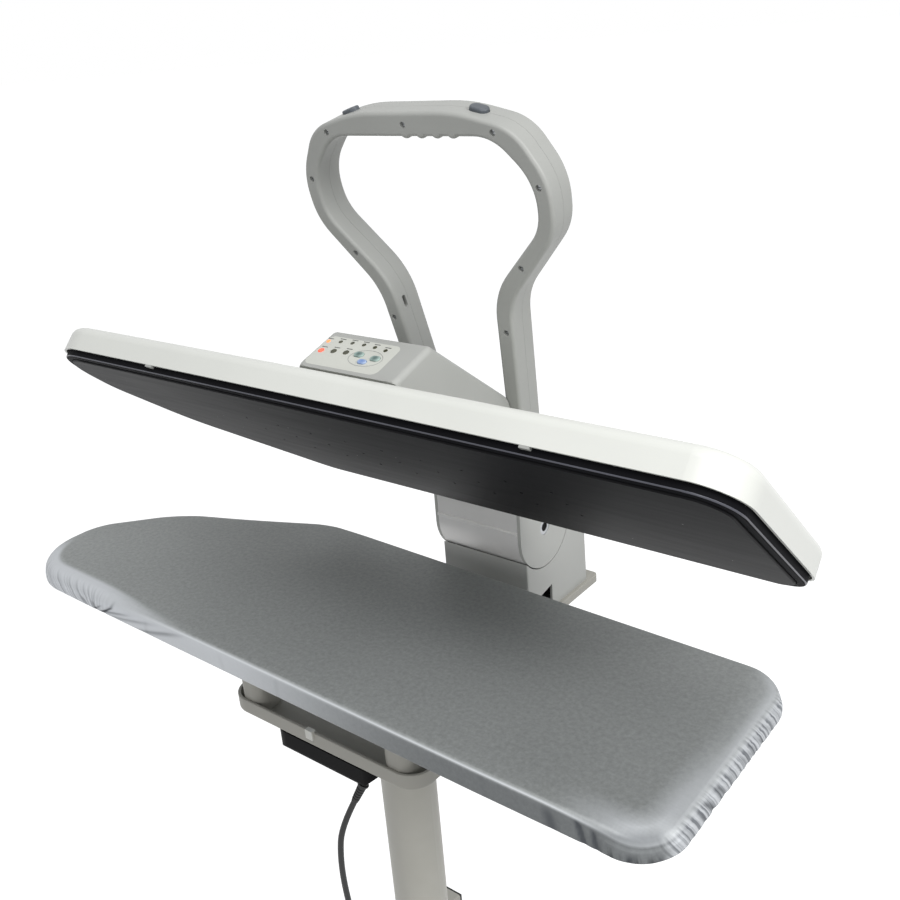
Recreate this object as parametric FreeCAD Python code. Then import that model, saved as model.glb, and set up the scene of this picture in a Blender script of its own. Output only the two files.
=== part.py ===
import FreeCAD, Part
import math
import os

os.makedirs("parts", exist_ok=True)
V = FreeCAD.Vector
X_AXIS = V(1, 0, 0)
Y_AXIS = V(0, 1, 0)
Z_AXIS = V(0, 0, 1)

# A steam ironing press on a pedestal stand. Millimetres, +Z up, +Y to the back.
# The origin is on the floor under the middle of the press. Pieces are drawn about the column,
# which stands board_offset to the right of the board's middle, and moved when they are kept.

# Board and head outline, measured from the right front corner of the board
board_top = 850.0
board_length = 880.0
board_offset = 26.0
board_front = -171.0
board_depth_right = 258.0
shoulder_x = 603.0
shoulder_y = 275.0
nose_back_in = 77.0
nose_back_y = 201.0
nose_side_y = 118.0
nose_front_y = 9.0
front_bow_x = 450.0
front_bow_r = 26000.0
front_corner_r = 42.0
back_corner_r = 38.0
shoulder_r = 110.0
nose_back_r = 150.0
nose_side_r = 60.0
nose_front_r = 72.0
board_height = 27.5
cover_cloth = 1.6
cover_edge_r = 8.0
cover_tuck_r = 5.0
hem_width = 30.0
pad_thick = 8.0
deck_sheet = 2.0
slide_gap = 0.2
rail_length = 300.0
rail_width = 30.0

# Stand
column_d = 65.0
column_wall = 2.5
collar_wall = 4.0
collar_height = 36.0
fit_gap = 0.05
skid_x = 230.0
skid_length = 620.0
skid_width = 40.0
skid_height = 30.0
tube_wall = 2.0
pad_height = 8.0
pad_length = 60.0
pad_lip = 4.0
crossbar_width = 60.0
flange_length = 130.0
flange_thick = 5.0
head_plate_x = 150.0
head_plate_y = 110.0
head_plate_thick = 6.0
bolt_r = 4.0
bolt_hole_gap = 0.2
bolt_head_r = 6.5
bolt_head_h = 5.0
bolt_grip = 6.0
bolt_edge = 4.0
head_bolt_margin = 12.0

# Base under the board
base_drop = 94.0
base_height = 18.0
base_half = 136.0
base_inset = 41.0
base_wall = 3.5
base_floor = 4.0
base_corner_r = 26.0
base_edge_r = 3.0
base_rim_r = 1.0
base_waist_y = -40.0
deck_start_y = 120.0
deck_thick = 10.0
deck_side_margin = 5.0
deck_back_margin = 20.0
post_side = 15.0
post_width = 34.0
post_depth = 30.0
post_r = 13.0
rear_post_x = 60.0
rear_post_y = 25.0
rear_post_d = 28.0
clip_width = 10.0
clip_height = 9.0
clip_thick = 2.0
clip_x = -8.0

# Lead box, mains lead and plug
lead_box_left = -70.0
lead_box_right = 85.0
lead_box_rake = 27.0
lead_box_bilge_r = 30.0
lead_box_depth = 58.0
lead_box_height = 25.0
lead_box_r = 22.0
lead_box_edge_r = 8.0
lead_box_wall = 2.5
terminal_left = -30.0
terminal_length = 40.0
terminal_width = 18.0
terminal_height = 14.0
terminal_back = 22.0
cord_d = 6.5
gland_length = 24.0
gland_d = 9.0
sleeve_wall = 0.4
exit_side = 30.0
exit_front = 8.0
exit_lean = V(-0.33, -0.36, -0.87)
first_run = 35.0
last_run = 34.0
coil_centre = V(-78.0, -122.0, 0)
coil_outer_r = 45.0
coil_layer_turns = 2.5
coil_side_gap = 0.8
coil_rise_gap = 0.7
coil_lift = 0.9
coil_tail = 24.0
plug_width = 36.0
plug_length = 40.0
plug_tail = 22.0
plug_edge_r = 3.0
pin_d = 4.8
pin_length = 19.0
pin_spacing = 19.0

# Hinge
mid_x = 12.0
hinge_y = 197.3
hinge_rise = 19.5
open_angle = 41.7
drum_r = 50.0
drum_wall = 3.5
drum_gap = 1.5
drum_half = 62.0
cheek_thick = 4.0
cheek_gap = 0.3
tangent_rise = 52.0
ridge_proud = 1.8
ridge_height = 4.0
block_front = -39.8
block_back = 90.0
block_top = 30.0
block_wall = 3.0
block_back_lean = 6.0
block_back_r = 10.0
block_notch = 40.0
block_front_drop = 20.0
block_edge_r = 2.0
vent_front = 18.0
vent_length = 28.0
vent_height = 21.0
vent_fall = 2.0
vent_drop = 5.5
vent_rise = 11.0
vent_r = 1.0
hinge_pin_r = 10.0
hinge_pin_bore = 5.5
running_gap = 0.05
bush_wall = 3.0
ear_inner = 24.0
ear_thick = 8.0
ear_head_r = 19.0
ear_foot_front = 46.0
ear_foot_back = 84.0
bracket_plate = 4.0
bracket_flange = 14.0
bracket_gap = 1.0
spring_wire = 4.0
spring_r = 16.0
spring_turns = 3.5
spring_gap = 0.3
hub_half = 21.0
hub_r = 20.0
arm_web = 7.0
arm_rib = 4.5
arm_rib_depth = 20.0
arm_shell_start = 42.0
arm_shell_end = 120.0
arm_web_start = 62.0
arm_web_end = 112.0
arm_root = 2.0
drum_front_end = 224.0
ridge_rise = 8.0
wing_setback = 13.0
pin_setback = 1.0
plug_setback = 2.0
plug_depth = 8.0

# Head, which stands over the hinge's middle and so a little to the right of the board
head_shift = 12.0
sole_gap = 2.7
sole_thick = 10.0
sole_inset = 12.5
sole_edge_r = 1.5
skirt_edge_r = 2.5
skirt_inset = 3.5
skirt_wall = 8.0
skirt_rise = 2.0
skirt_top = 16.0
skirt_flange = 20.0
cover_rim = 12.5
cover_top = 44.0
cover_flare = 1.5
cover_wall = 2.5
head_edge_r = 12.0
steam_hole_d = 3.0
steam_pitch = 50.0
steam_rows = (100.0, 133.0, 166.0)
steam_columns = 9
steam_first = 200.0
boss_r = 9.0
boss_height = 11.0
boss_floor = 2.0
shield_sheet = 0.8
shield_inset = 26.0
spacer_r = 8.0
head_bolt_x = 18.0
head_bolt_ys = (112.0, 232.0)
element_d = 7.0
element_inset = 55.0
element_nose_in = 90.0
element_step = 2.0
element_bend_r = 40.0
element_nose_r = 28.0
element_back_run = 260.0
element_end_run = 145.0
stat_x = 64.0
stat_y = 140.0
stat_r = 12.0
stat_height = 7.0
stat_tab_width = 8.0
stat_tab_length = 18.0
stat_tab_height = 3.0
cover_clip_places = (178.0, 668.0)
cover_clip_width = 10.0
cover_clip_lip = 2.5
cover_clip_rise = 3.0
beam_thick = 16.0
beam_front = 90.0
beam_half = 28.0
yoke_half = 41.0
yoke_start = 240.0

# Control housing and panel
housing_front = 22.0
housing_half_front = 65.0
foot_recess = 5.0
housing_half_back = 61.0
housing_back = 262.0
panel_foot = 50.0
panel_head_y = 51.25
panel_head_z = 102.0
crest_y = 210.0
crest_z = 116.0
crest_fall = 30.0
crest_r = 40.0
panel_head_r = 8.0
housing_wall = 2.5
housing_side_wall = 4.0
housing_corner_r = 10.0
housing_edge_r = 6.0
leg_gap = 1.0
gate_gap = 1.0
gate_depth = 14.0
film_in = 5.0
film_length = 96.0
film_low = 5.0
film_high = 51.5
film_r = 8.0
film_thick = 0.6
board_depth_behind = 9.0
circuit_thick = 1.6
led_r = 2.3
led_big_r = 3.4
led_proud = 0.4
lamp_count = 6
lamp_in = 9.0
lamp_pitch = 15.3
lamp_row = 45.5
lamp_arch = 3.2
key_edge_r = 0.8
circuit_in = 7.0
circuit_length = 100.0
circuit_low = 8.0
circuit_high = 49.0
circuit_post_r = 3.0
circuit_post_left = 9.0
circuit_post_right = 6.0
circuit_post_mid = 30.0
circuit_post_top = 13.0
circuit_post_low = 8.0
switch_width = 6.0
switch_depth = 5.0
key_gap = 0.3
key_travel = 1.0
key_proud = 1.4
key_depth = 5.5
tank_half = 27.0
tank_front = 124.0
tank_back = 214.0
tank_top = 96.0
neck_y = 165.0
neck_r = 13.0
cap_r = 19.0
cap_height = 7.0
boss_rise = 3.0
spout_lip = 1.0
neck_gap = 2.0
tank_wall = 2.0
tank_corner_r = 5.0
cap_edge_r = 2.0
cap_grips = 24
cap_grip_r = 1.4
cap_grip_depth = 0.8
stopper_depth = 8.0
inner_gap = 3.0
pump_width = 22.0
pump_front = 130.0
pump_length = 35.0
pump_height = 26.0
motor_length = 30.0
boiler_width = 23.0
boiler_front = 120.0
boiler_length = 80.0
boiler_height = 28.0
nozzle_r = 4.0
nozzle_rise = 20.0
nozzle_length = 14.0

# Handle loop, in its own upright plane through the hinge axis
handle_lean = 12.4
handle_half_depth = 18.5
handle_wall = 4.5
handle_face = 3.5
handle_edge_r = 4.0
handle_split = 0.1
leg_start = 112.0
stub_start = 52.0
tang_top = 235.0
tang_gap = 0.2
grip_bump_r = 7.0
grip_bump_drop = 2.2
grip_bump_pitch = 19.0
grip_bump_count = 4
grip_bump_first = -0.5
screw_head_r = 2.8
screw_shank_r = 1.6
screw_recess_r = 3.2
screw_recess = 5.0
screw_post_r = 4.4
steam_key_x = 80.0
steam_key_length = 20.0
steam_key_width = 13.0
steam_key_proud = 4.5
steam_key_gap = 0.4
steam_key_sunk = 0.9
steam_key_root = 6.0
steam_key_edge_r = 1.8
screw_head_h = 2.0
screw_slot_w = 0.8
screw_slot_d = 1.0
screw_tail = 8.0
leg_slot_x = 68.5
leg_slot_back = 6.0
leg_slot_s = 283.0
leg_slot_length = 14.0
leg_slot_width = 5.0
leg_slot_depth = 20.0

# Half outlines of the loop, as distance from the middle, height over the hinge and corner radius
loop_foot = 50.0
loop_outside = [
    (61.5, loop_foot, 0), (88, 302, 70), (154, 378, 60), (157, 428, 72), (126, 478, 52), (62, 494, 180),
]
loop_inside = [(42.5, loop_foot, 0), (68, 311, 85), (136, 383, 46), (139, 428, 58), (100, 470, 46)]
loop_screws = ((75.5, 268.0), (108.5, 342.0), (144.0, 424.0), (104.0, 474.5))
loop_top_screw = 482.0
loop_reach = 300.0
loop_limit = 600.0

# Levels and places worked out from the sizes above
board_right = board_length / 2 - board_offset
head_right = board_right + head_shift
frame_shift = board_offset - (head_shift + cover_flare) / 2
base_top = board_top - base_drop
base_bottom = base_top - base_height
base_front = board_front + base_inset
post_x = base_half - post_side - post_width / 2
lead_box_low = base_bottom - lead_box_height
exit_point = V(lead_box_right - exit_side, base_front + exit_front, lead_box_low)
hinge_z = board_top + hinge_rise
hinge_point = V(0, hinge_y, hinge_z)
block_half = drum_half
base_back = hinge_y + block_back + deck_back_margin
sole_face = board_top + sole_gap
sole_back = sole_face + sole_thick
head_top = board_top + cover_top
head_rim = board_top + cover_rim
skid_bottom = pad_height
skid_top = skid_bottom + skid_height
panel_angle = math.degrees(math.atan2(panel_head_z - panel_foot, panel_head_y - housing_front))


# Basic shapes
def box(x0, x1, y0, y1, z0, z1):
    return Part.makeBox(x1 - x0, y1 - y0, z1 - z0, V(x0, y0, z0))


def cylinder(start, axis, radius, length):
    return Part.makeCylinder(radius, length, start, axis)


def cylinder_x(x0, x1, y, z, radius):
    return Part.makeCylinder(radius, x1 - x0, V(x0, y, z), X_AXIS)


def corner_arc(start, corner, end):
    """The arc that is tangent at start and end to the lines through corner."""
    to_start = start - corner
    to_end = end - corner
    reach = to_start.Length
    to_start.normalize()
    to_end.normalize()
    half = math.acos(max(-1.0, min(1.0, to_start.dot(to_end)))) / 2
    bisector = to_start + to_end
    bisector.normalize()
    radius = reach * math.tan(half)
    middle = corner + bisector * (radius / math.sin(half) - radius)
    return Part.Arc(start, middle, end).toShape(), radius


def rounded_wire(corners, closed=True):
    """Straight runs joined by tangent arcs. Each corner is a point and its radius."""
    count = len(corners)
    stops = []
    for i, (point, radius) in enumerate(corners):
        at_end = not closed and i in (0, count - 1)
        if at_end or radius <= 0:
            stops.append((point, point, None))
            continue
        before = corners[i - 1][0] - point
        after = corners[(i + 1) % count][0] - point
        before.normalize()
        after.normalize()
        half = math.acos(max(-1.0, min(1.0, before.dot(after)))) / 2
        reach = radius / math.tan(half)
        start = point + before * reach
        end = point + after * reach
        stops.append((start, end, corner_arc(start, point, end)[0]))
    edges = []
    for i, (start, end, arc) in enumerate(stops):
        if arc is not None:
            edges.append(arc)
        if i == count - 1 and not closed:
            break
        following = stops[(i + 1) % count][0]
        if (following - end).Length > 1e-6:
            edges.append(Part.LineSegment(end, following).toShape())
    return Part.Wire(edges)


def slab(outline, z0, z1):
    """A plate of constant section from an outline of (x, y, radius)."""
    wire = rounded_wire([(V(x, y, z0), r) for x, y, r in outline])
    return Part.Face(wire).extrude(V(0, 0, z1 - z0))


def side_slab(outline, x0, x1):
    """A solid of constant section along X from an outline of (y, z, radius)."""
    wire = rounded_wire([(V(x0, y, z), r) for y, z, r in outline])
    return Part.Face(wire).extrude(V(x1 - x0, 0, 0))


def inset(outline, distance):
    """The same outline moved inwards. Its points run counter-clockwise."""
    count = len(outline)
    moved = []
    for i in range(count):
        x0, y0, _ = outline[i - 1]
        x1, y1, radius = outline[i]
        x2, y2, _ = outline[(i + 1) % count]
        a = V(x1 - x0, y1 - y0, 0)
        b = V(x2 - x1, y2 - y1, 0)
        a.normalize()
        b.normalize()
        turn = a.x * b.y - a.y * b.x
        pa = V(x1 - a.y * distance, y1 + a.x * distance, 0)
        pb = V(x1 - b.y * distance, y1 + b.x * distance, 0)
        step = ((pb.x - pa.x) * b.y - (pb.y - pa.y) * b.x) / turn
        change = distance if turn > 0 else -distance
        moved.append((pa.x + a.x * step, pa.y + a.y * step, max(radius - change, 0) if radius else 0))
    return moved


def oval(centre_x, centre_y, length, width):
    half_x = length / 2
    half_y = width / 2
    r = min(half_x, half_y) * 0.98
    return [
        (centre_x - half_x, centre_y - half_y, r),
        (centre_x + half_x, centre_y - half_y, r),
        (centre_x + half_x, centre_y + half_y, r),
        (centre_x - half_x, centre_y + half_y, r),
    ]


def fillet_level(shape, radius, axis, level):
    """Round every edge that lies in the plane where the given coordinate equals level."""
    chosen = []
    for edge in shape.Edges:
        low = getattr(edge.BoundBox, axis + "Min")
        high = getattr(edge.BoundBox, axis + "Max")
        if abs(low - level) < 1e-4 and abs(high - level) < 1e-4:
            chosen.append(edge)
    return shape.makeFillet(radius, chosen)


def turned(shape, angle):
    """A copy turned about the hinge axis, positive towards closed."""
    copy = shape.copy()
    copy.rotate(hinge_point, X_AXIS, angle)
    return copy


def save(name, *solids):
    solids = [solid for shape in solids for solid in shape.Solids]
    shape = solids[0] if len(solids) == 1 else Part.makeCompound(solids)
    shape.translate(V(frame_shift, 0, 0))
    valid = all(solid.isValid() for solid in solids)
    print(name, len(solids), "valid" if valid else "NOT VALID", round(shape.Volume))
    shape.exportStep("parts/" + name + ".step")


def save_head(name, *solids):
    """Head pieces are drawn closed, flat over the board, and kept at the open rest pose."""
    save(name, *[turned(solid, -open_angle) for solid in solids])


def save_handle(name, *solids):
    """Handle pieces are drawn upright over the hinge and leaned forward."""
    save(name, *[turned(solid, handle_lean) for solid in solids])


def board_outline():
    left = board_right - board_length
    bow_run = board_length - front_bow_x
    bow_room = (bow_run - nose_front_r) / math.tan(math.atan2(nose_front_y, bow_run) / 2)
    return [
        (board_right, board_front, front_corner_r),
        (board_right, board_front + board_depth_right, back_corner_r),
        (board_right - shoulder_x, board_front + shoulder_y, shoulder_r),
        (left + nose_back_in, board_front + nose_back_y, nose_back_r),
        (left, board_front + nose_side_y, nose_side_r),
        (left, board_front + nose_front_y, nose_front_r),
        (board_right - front_bow_x, board_front, min(front_bow_r, bow_room)),
    ]


def bolt(x, y, seat_z, up, grip, head_r=bolt_head_r, head_h=bolt_head_h, shank_r=bolt_r):
    """A bolt whose head bears on seat_z. The shank goes the other way from up."""
    axis = V(0, 0, up)
    head = cylinder(V(x, y, seat_z), axis, head_r, head_h)
    shank = cylinder(V(x, y, seat_z), axis * -1, shank_r, grip)
    return head.fuse(shank).removeSplitter()


# Stand
def make_stand():
    low = -skid_length / 2
    high = skid_length / 2
    half = skid_width / 2
    pads = []
    for name, x in (("foot_skid_left", -skid_x), ("foot_skid_right", skid_x)):
        tube = box(x - half, x + half, low, high, skid_bottom, skid_top)
        tube = tube.makeFillet(tube_wall * 2, [e for e in tube.Edges if e.BoundBox.YLength > skid_length / 2])
        wall = half - tube_wall
        hollow = box(x - wall, x + wall, low, high, skid_bottom + tube_wall, skid_top - tube_wall)
        save(name, tube.cut(hollow))
        for y, way in ((low, 1), (high, -1)):
            lip = y - way * pad_lip
            y0, y1 = sorted((lip, y + way * pad_length))
            sole = box(x - half, x + half, y0, y1, 0, skid_bottom)
            z1 = skid_top
            plate = box(x - half, x + half, min(lip, y), max(lip, y), skid_bottom, z1)
            pad = sole.fuse(plate).removeSplitter()
            pads.append(fillet_level(pad, pad_lip * 0.4, "Z", z1))
    save("foot_pads", *pads)

    reach = skid_x - half
    y0 = -crossbar_width / 2
    bar = box(-reach, reach, y0, -y0, skid_bottom, skid_top)
    bar = bar.makeFillet(tube_wall * 2, [e for e in bar.Edges if e.BoundBox.XLength > reach])
    inner = box(-reach, reach, y0 + tube_wall, -y0 - tube_wall, skid_bottom + tube_wall, skid_top - tube_wall)
    bar = bar.cut(inner)

    collar_r = column_d / 2 + fit_gap + collar_wall
    bore_r = column_d / 2 + fit_gap
    flange_top = skid_top + flange_thick
    flange = box(-flange_length / 2, flange_length / 2, y0, -y0, skid_top, flange_top)
    collar = cylinder(V(0, 0, flange_top), Z_AXIS, collar_r, collar_height)
    bore = cylinder(V(0, 0, flange_top), Z_AXIS, bore_r, collar_height)
    socket = flange.fuse(collar).removeSplitter().cut(bore)

    plate_top = base_bottom
    plate_low = plate_top - head_plate_thick
    px = head_plate_x / 2
    py = head_plate_y / 2
    plate = box(-px, px, -py, py, plate_low, plate_top)
    collar = cylinder(V(0, 0, plate_low - collar_height), Z_AXIS, collar_r, collar_height)
    bore = cylinder(V(0, 0, plate_low - collar_height), Z_AXIS, bore_r, collar_height)
    column_head = plate.fuse(collar).removeSplitter().cut(bore)

    bolts = []
    hole_r = bolt_r + bolt_hole_gap
    margin = bolt_head_r + bolt_edge
    for sx in (-1, 1):
        for sy in (-1, 1):
            x = sx * (flange_length / 2 - margin)
            y = sy * (crossbar_width / 2 - margin)
            bolts.append(bolt(x, y, flange_top, 1, flange_thick + bolt_grip))
            hole = cylinder(V(x, y, skid_bottom + tube_wall), Z_AXIS, hole_r, skid_height + flange_thick)
            socket = socket.cut(hole)
            bar = bar.cut(hole)
            x, y = head_bolt_place(sx, sy)
            bolts.append(bolt(x, y, plate_low, -1, head_plate_thick + base_floor + bolt_grip))
            column_head = column_head.cut(cylinder(V(x, y, plate_low), Z_AXIS, hole_r, head_plate_thick))
    save("foot_crossbar", bar)
    save("column_socket", socket)
    save("column_head", column_head)
    save("stand_bolts", *bolts)

    tube = cylinder(V(0, 0, flange_top), Z_AXIS, column_d / 2, plate_low - flange_top)
    hollow = cylinder(V(0, 0, flange_top), Z_AXIS, column_d / 2 - column_wall, plate_low - flange_top)
    save("column_tube", tube.cut(hollow))


def head_bolt_place(sx, sy):
    return sx * (head_plate_x / 2 - head_bolt_margin), sy * (head_plate_y / 2 - head_bolt_margin)


# Base tray, posts and lead box
def make_base():
    right = mid_x + block_half + deck_side_margin
    left = mid_x - block_half - deck_side_margin
    outline = [
        (-base_half, base_front, base_corner_r),
        (base_half, base_front, base_corner_r),
        (base_half, base_waist_y, base_corner_r),
        (right, deck_start_y, base_corner_r),
        (right, base_back, base_wall * 2),
        (left, base_back, base_wall * 2),
        (left, deck_start_y, base_corner_r),
        (-base_half, base_waist_y, base_corner_r),
    ]
    pan = fillet_level(slab(outline, base_bottom, base_top), base_edge_r, "Z", base_bottom)
    pocket = slab(inset(outline, base_wall), base_bottom + base_floor, base_top)
    tray_end = deck_start_y - base_wall
    pocket = pocket.common(box(-base_half, base_half, base_front, tray_end, base_bottom, base_top))
    pan = fillet_level(pan.cut(pocket), base_rim_r, "Z", base_top)
    below_y = deck_start_y + base_corner_r
    below = box(-base_half, base_half, below_y, base_back, base_bottom, base_top - deck_thick)
    pan = pan.cut(below)
    for sx in (-1, 1):
        for sy in (-1, 1):
            x, y = head_bolt_place(sx, sy)
            pan = pan.cut(cylinder(V(x, y, base_bottom), Z_AXIS, bolt_r + bolt_hole_gap, base_floor))

    floor_z = base_bottom + base_floor
    post_top = board_top - board_height + deck_sheet
    for name, x in (("front_post_left", -post_x), ("front_post_right", post_x)):
        y0 = base_front + base_wall + slide_gap
        w = post_width / 2
        section = [
            (x - w, y0, post_r),
            (x + w, y0, post_r),
            (x + w, y0 + post_depth, post_r / 3),
            (x - w, y0 + post_depth, post_r / 3),
        ]
        save(name, slab(section, floor_z, post_top))
    rear = []
    for x in (-rear_post_x, rear_post_x):
        rear.append(cylinder(V(x, rear_post_y, floor_z), Z_AXIS, rear_post_d / 2, post_top - floor_z))
    save("rear_posts", *rear)

    w = clip_width / 2
    outer = box(clip_x - w, clip_x + w, base_front - clip_thick, base_front, base_top - clip_height, base_top)
    over = box(
        clip_x - w, clip_x + w, base_front - clip_thick, base_front + base_wall,
        base_top, base_top + clip_thick,
    )
    save("base_clip", outer.fuse(over).removeSplitter())
    save("base_pan", pan)

    box_low = lead_box_low
    outline = [
        (lead_box_left, base_front, lead_box_r),
        (lead_box_right, base_front, lead_box_r),
        (lead_box_right, base_front + lead_box_depth, lead_box_r / 2),
        (lead_box_left, base_front + lead_box_depth, lead_box_r / 2),
    ]
    case = lead_box_solid(outline, box_low, lead_box_edge_r)
    floor = box_low + lead_box_wall
    case = case.cut(lead_box_solid(inset(outline, lead_box_wall), floor, lead_box_edge_r - lead_box_wall))
    lean = V(exit_lean)
    lean.normalize()
    hole = cylinder(exit_point - lean * lead_box_edge_r, lean, gland_d / 2, lead_box_edge_r * 2)
    save("lead_box", case.cut(hole))

    y0 = base_front + terminal_back
    block = Part.makeBox(terminal_length, terminal_width, terminal_height, V(terminal_left, y0, floor))
    save("terminal_block", block)

    gland = Part.makeCone(gland_d / 2, cord_d / 2 + sleeve_wall, gland_length, exit_point, lean)
    stem = cylinder(exit_point - lean * lead_box_edge_r, lean, gland_d / 2, lead_box_edge_r)
    save("cord_gland", gland.fuse(stem).removeSplitter())


def lead_box_solid(plan, low, edge_r):
    """A shallow tray whose right end rises like the bow of a boat."""
    left = plan[0][0]
    right = plan[1][0]
    front = plan[0][1]
    back = plan[2][1]
    profile = [
        (left, low, edge_r),
        (right - lead_box_rake, low, lead_box_bilge_r),
        (right, base_bottom, 0),
        (left, base_bottom, 0),
    ]
    wire = rounded_wire([(V(x, front, z), r) for x, z, r in profile])
    hull = Part.Face(wire).extrude(V(0, back - front, 0)).common(slab(plan, low, base_bottom))
    section = [(front, low, edge_r), (back, low, edge_r), (back, base_bottom, 0), (front, base_bottom, 0)]
    return hull.common(side_slab(section, left, right))


# Mains lead: a hanging stretch, a put-away coil and a plug
def cord_route():
    lean = V(exit_lean)
    lean.normalize()
    start = exit_point + lean * gland_length
    end = coil_point(0)
    return [
        start,
        start + lean * first_run,
        V(33.5, -148.5, 626),
        V(34, -149, 584),
        V(38, -146, 530),
        V(41, -145, 462),
        V(39, -149, 388),
        V(36, -152, 312),
        V(37, -150, 240),
        V(41, -152, 172),
        V(40, -157, 112),
        V(33, -163, 62),
        V(16, -167, 24),
        V(-12, -168, end.z + 2.5),
        end - coil_way(0) * last_run,
        end,
    ]


def coil_point(turn):
    """A place along the coil, in turns from where the lead comes in."""
    pitch = cord_d + coil_side_gap
    low = coil_lift + cord_d / 2
    rise = cord_d + coil_rise_gap
    reversal = coil_layer_turns + 0.25
    inner_r = coil_outer_r - pitch * reversal
    radius = inner_r + pitch * abs(turn - reversal)
    share = min(max((turn - coil_layer_turns) / 0.5, 0), 1)
    z = low + rise * (1 - math.cos(math.pi * share)) / 2
    angle = math.radians(270 - 360 * turn)
    return V(coil_centre.x + radius * math.cos(angle), coil_centre.y + radius * math.sin(angle), z)


def coil_way(turn):
    """The direction of the lead at a place along the coil."""
    small = 0.001
    return unit(coil_point(turn + small) - coil_point(turn - small))


def unit(vector):
    copy = V(vector)
    copy.normalize()
    return copy


def biarc_edges(points, tangents):
    """Two tangent arcs from each point to the next."""
    edges = []
    for i in range(len(points) - 1):
        p1 = points[i]
        p2 = points[i + 1]
        t1 = tangents[i]
        t2 = tangents[i + 1]
        span = p2 - p1
        both = t1 + t2
        spread = 2 * (1 - t1.dot(t2))
        along = span.dot(both)
        if spread < 1e-9:
            reach = span.dot(span) / (4 * span.dot(t2))
        else:
            reach = (math.sqrt(along * along + spread * span.dot(span)) - along) / spread
        q1 = p1 + t1 * reach
        q2 = p2 - t2 * reach
        joint = (q1 + q2) * 0.5
        for start, corner, end in ((p1, q1, joint), (joint, q2, p2)):
            flat = (corner - start).cross(end - corner).Length < 1e-6
            if flat:
                edges.append(Part.LineSegment(start, end).toShape())
            else:
                edges.append(corner_arc(start, corner, end)[0])
    return edges


def wound_tube(path, turns, diameter, lead_in, lead_out):
    """One unbroken round tube along a path given in turns, with straight ends."""
    steps = int(round(turns * 4))
    marks = [turns * i / steps for i in range(steps + 1)]
    small = 0.001
    points = [path(m) for m in marks]
    tangents = [unit(path(m + small) - path(m - small)) for m in marks]
    edges = biarc_edges(points, tangents)
    if lead_in > 0:
        edges.insert(0, Part.LineSegment(points[0] - tangents[0] * lead_in, points[0]).toShape())
    if lead_out > 0:
        edges.append(Part.LineSegment(points[-1], points[-1] + tangents[-1] * lead_out).toShape())
    wire = Part.Wire(edges)
    first = points[0] - tangents[0] * lead_in
    ring = Part.Wire(Part.Circle(first, tangents[0], diameter / 2).toShape())
    return wire.makePipeShell([ring], True, False), wire


def least_gap(path, turns, diameter):
    """The smallest gap between neighbouring windings, measured on points."""
    count = int(turns * 48)
    points = [path(turns * i / count) for i in range(count + 1)]
    gap = 1e9
    for i, p in enumerate(points):
        for q in points[i + 30:]:
            gap = min(gap, (p - q).Length - diameter)
    return gap


def route_tube(points, diameter):
    """A tube on straight runs with the largest arcs that the runs allow."""
    corners = [(points[0], 0)]
    for i in range(1, len(points) - 1):
        before = points[i - 1] - points[i]
        after = points[i + 1] - points[i]
        shorter = min(before.Length, after.Length)
        turn = math.pi - before.getAngle(after)
        corners.append((points[i], 0.45 * shorter / math.tan(turn / 2)))
    corners.append((points[-1], 0))
    print("cord radii", [round(r) for _, r in corners[1:-1]])
    wire = rounded_wire(corners, closed=False)
    ring = Part.Wire(Part.Circle(points[0], points[1] - points[0], diameter / 2).toShape())
    return wire.makePipeShell([ring], True, False), wire


def make_lead():
    tube, wire = route_tube(cord_route(), cord_d)
    area = math.pi * cord_d * cord_d / 4
    ratio = tube.Volume / (area * wire.Length)
    print("cord stretch length", round(wire.Length), "volume ratio", round(ratio, 4))
    save("power_cord", tube)

    turns = 2 * coil_layer_turns + 0.5
    coil, wire = wound_tube(coil_point, turns, cord_d, 0, coil_tail)
    ratio = coil.Volume / (area * wire.Length)
    print("coil length", round(wire.Length), "volume ratio", round(ratio, 4))
    print("coil least gap", round(least_gap(coil_point, turns, cord_d), 2))
    save("cord_coil", coil)

    end = coil_point(turns)
    way = coil_way(turns)
    start = end + way * coil_tail
    tail = Part.makeCone(cord_d / 2 + sleeve_wall, cord_d, plug_tail, start, way)
    half_height = start.z - coil_lift
    body_start = start + way * plug_tail
    across = Z_AXIS.cross(way)
    body = slab(oval(0, 0, plug_width, half_height * 2), 0, plug_length)
    body = fillet_level(body, plug_edge_r, "Z", 0)
    body.Placement = FreeCAD.Placement(body_start, FreeCAD.Rotation(across, Z_AXIS, way, "ZXY"))
    plug = tail.fuse(body)
    face = body_start + way * plug_length
    for side in (-1, 1):
        root = face + across * (side * pin_spacing / 2) - way
        pin = cylinder(root, way, pin_d / 2, pin_length + 1)
        plug = plug.fuse(pin)
    save("power_plug", plug.removeSplitter())


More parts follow.
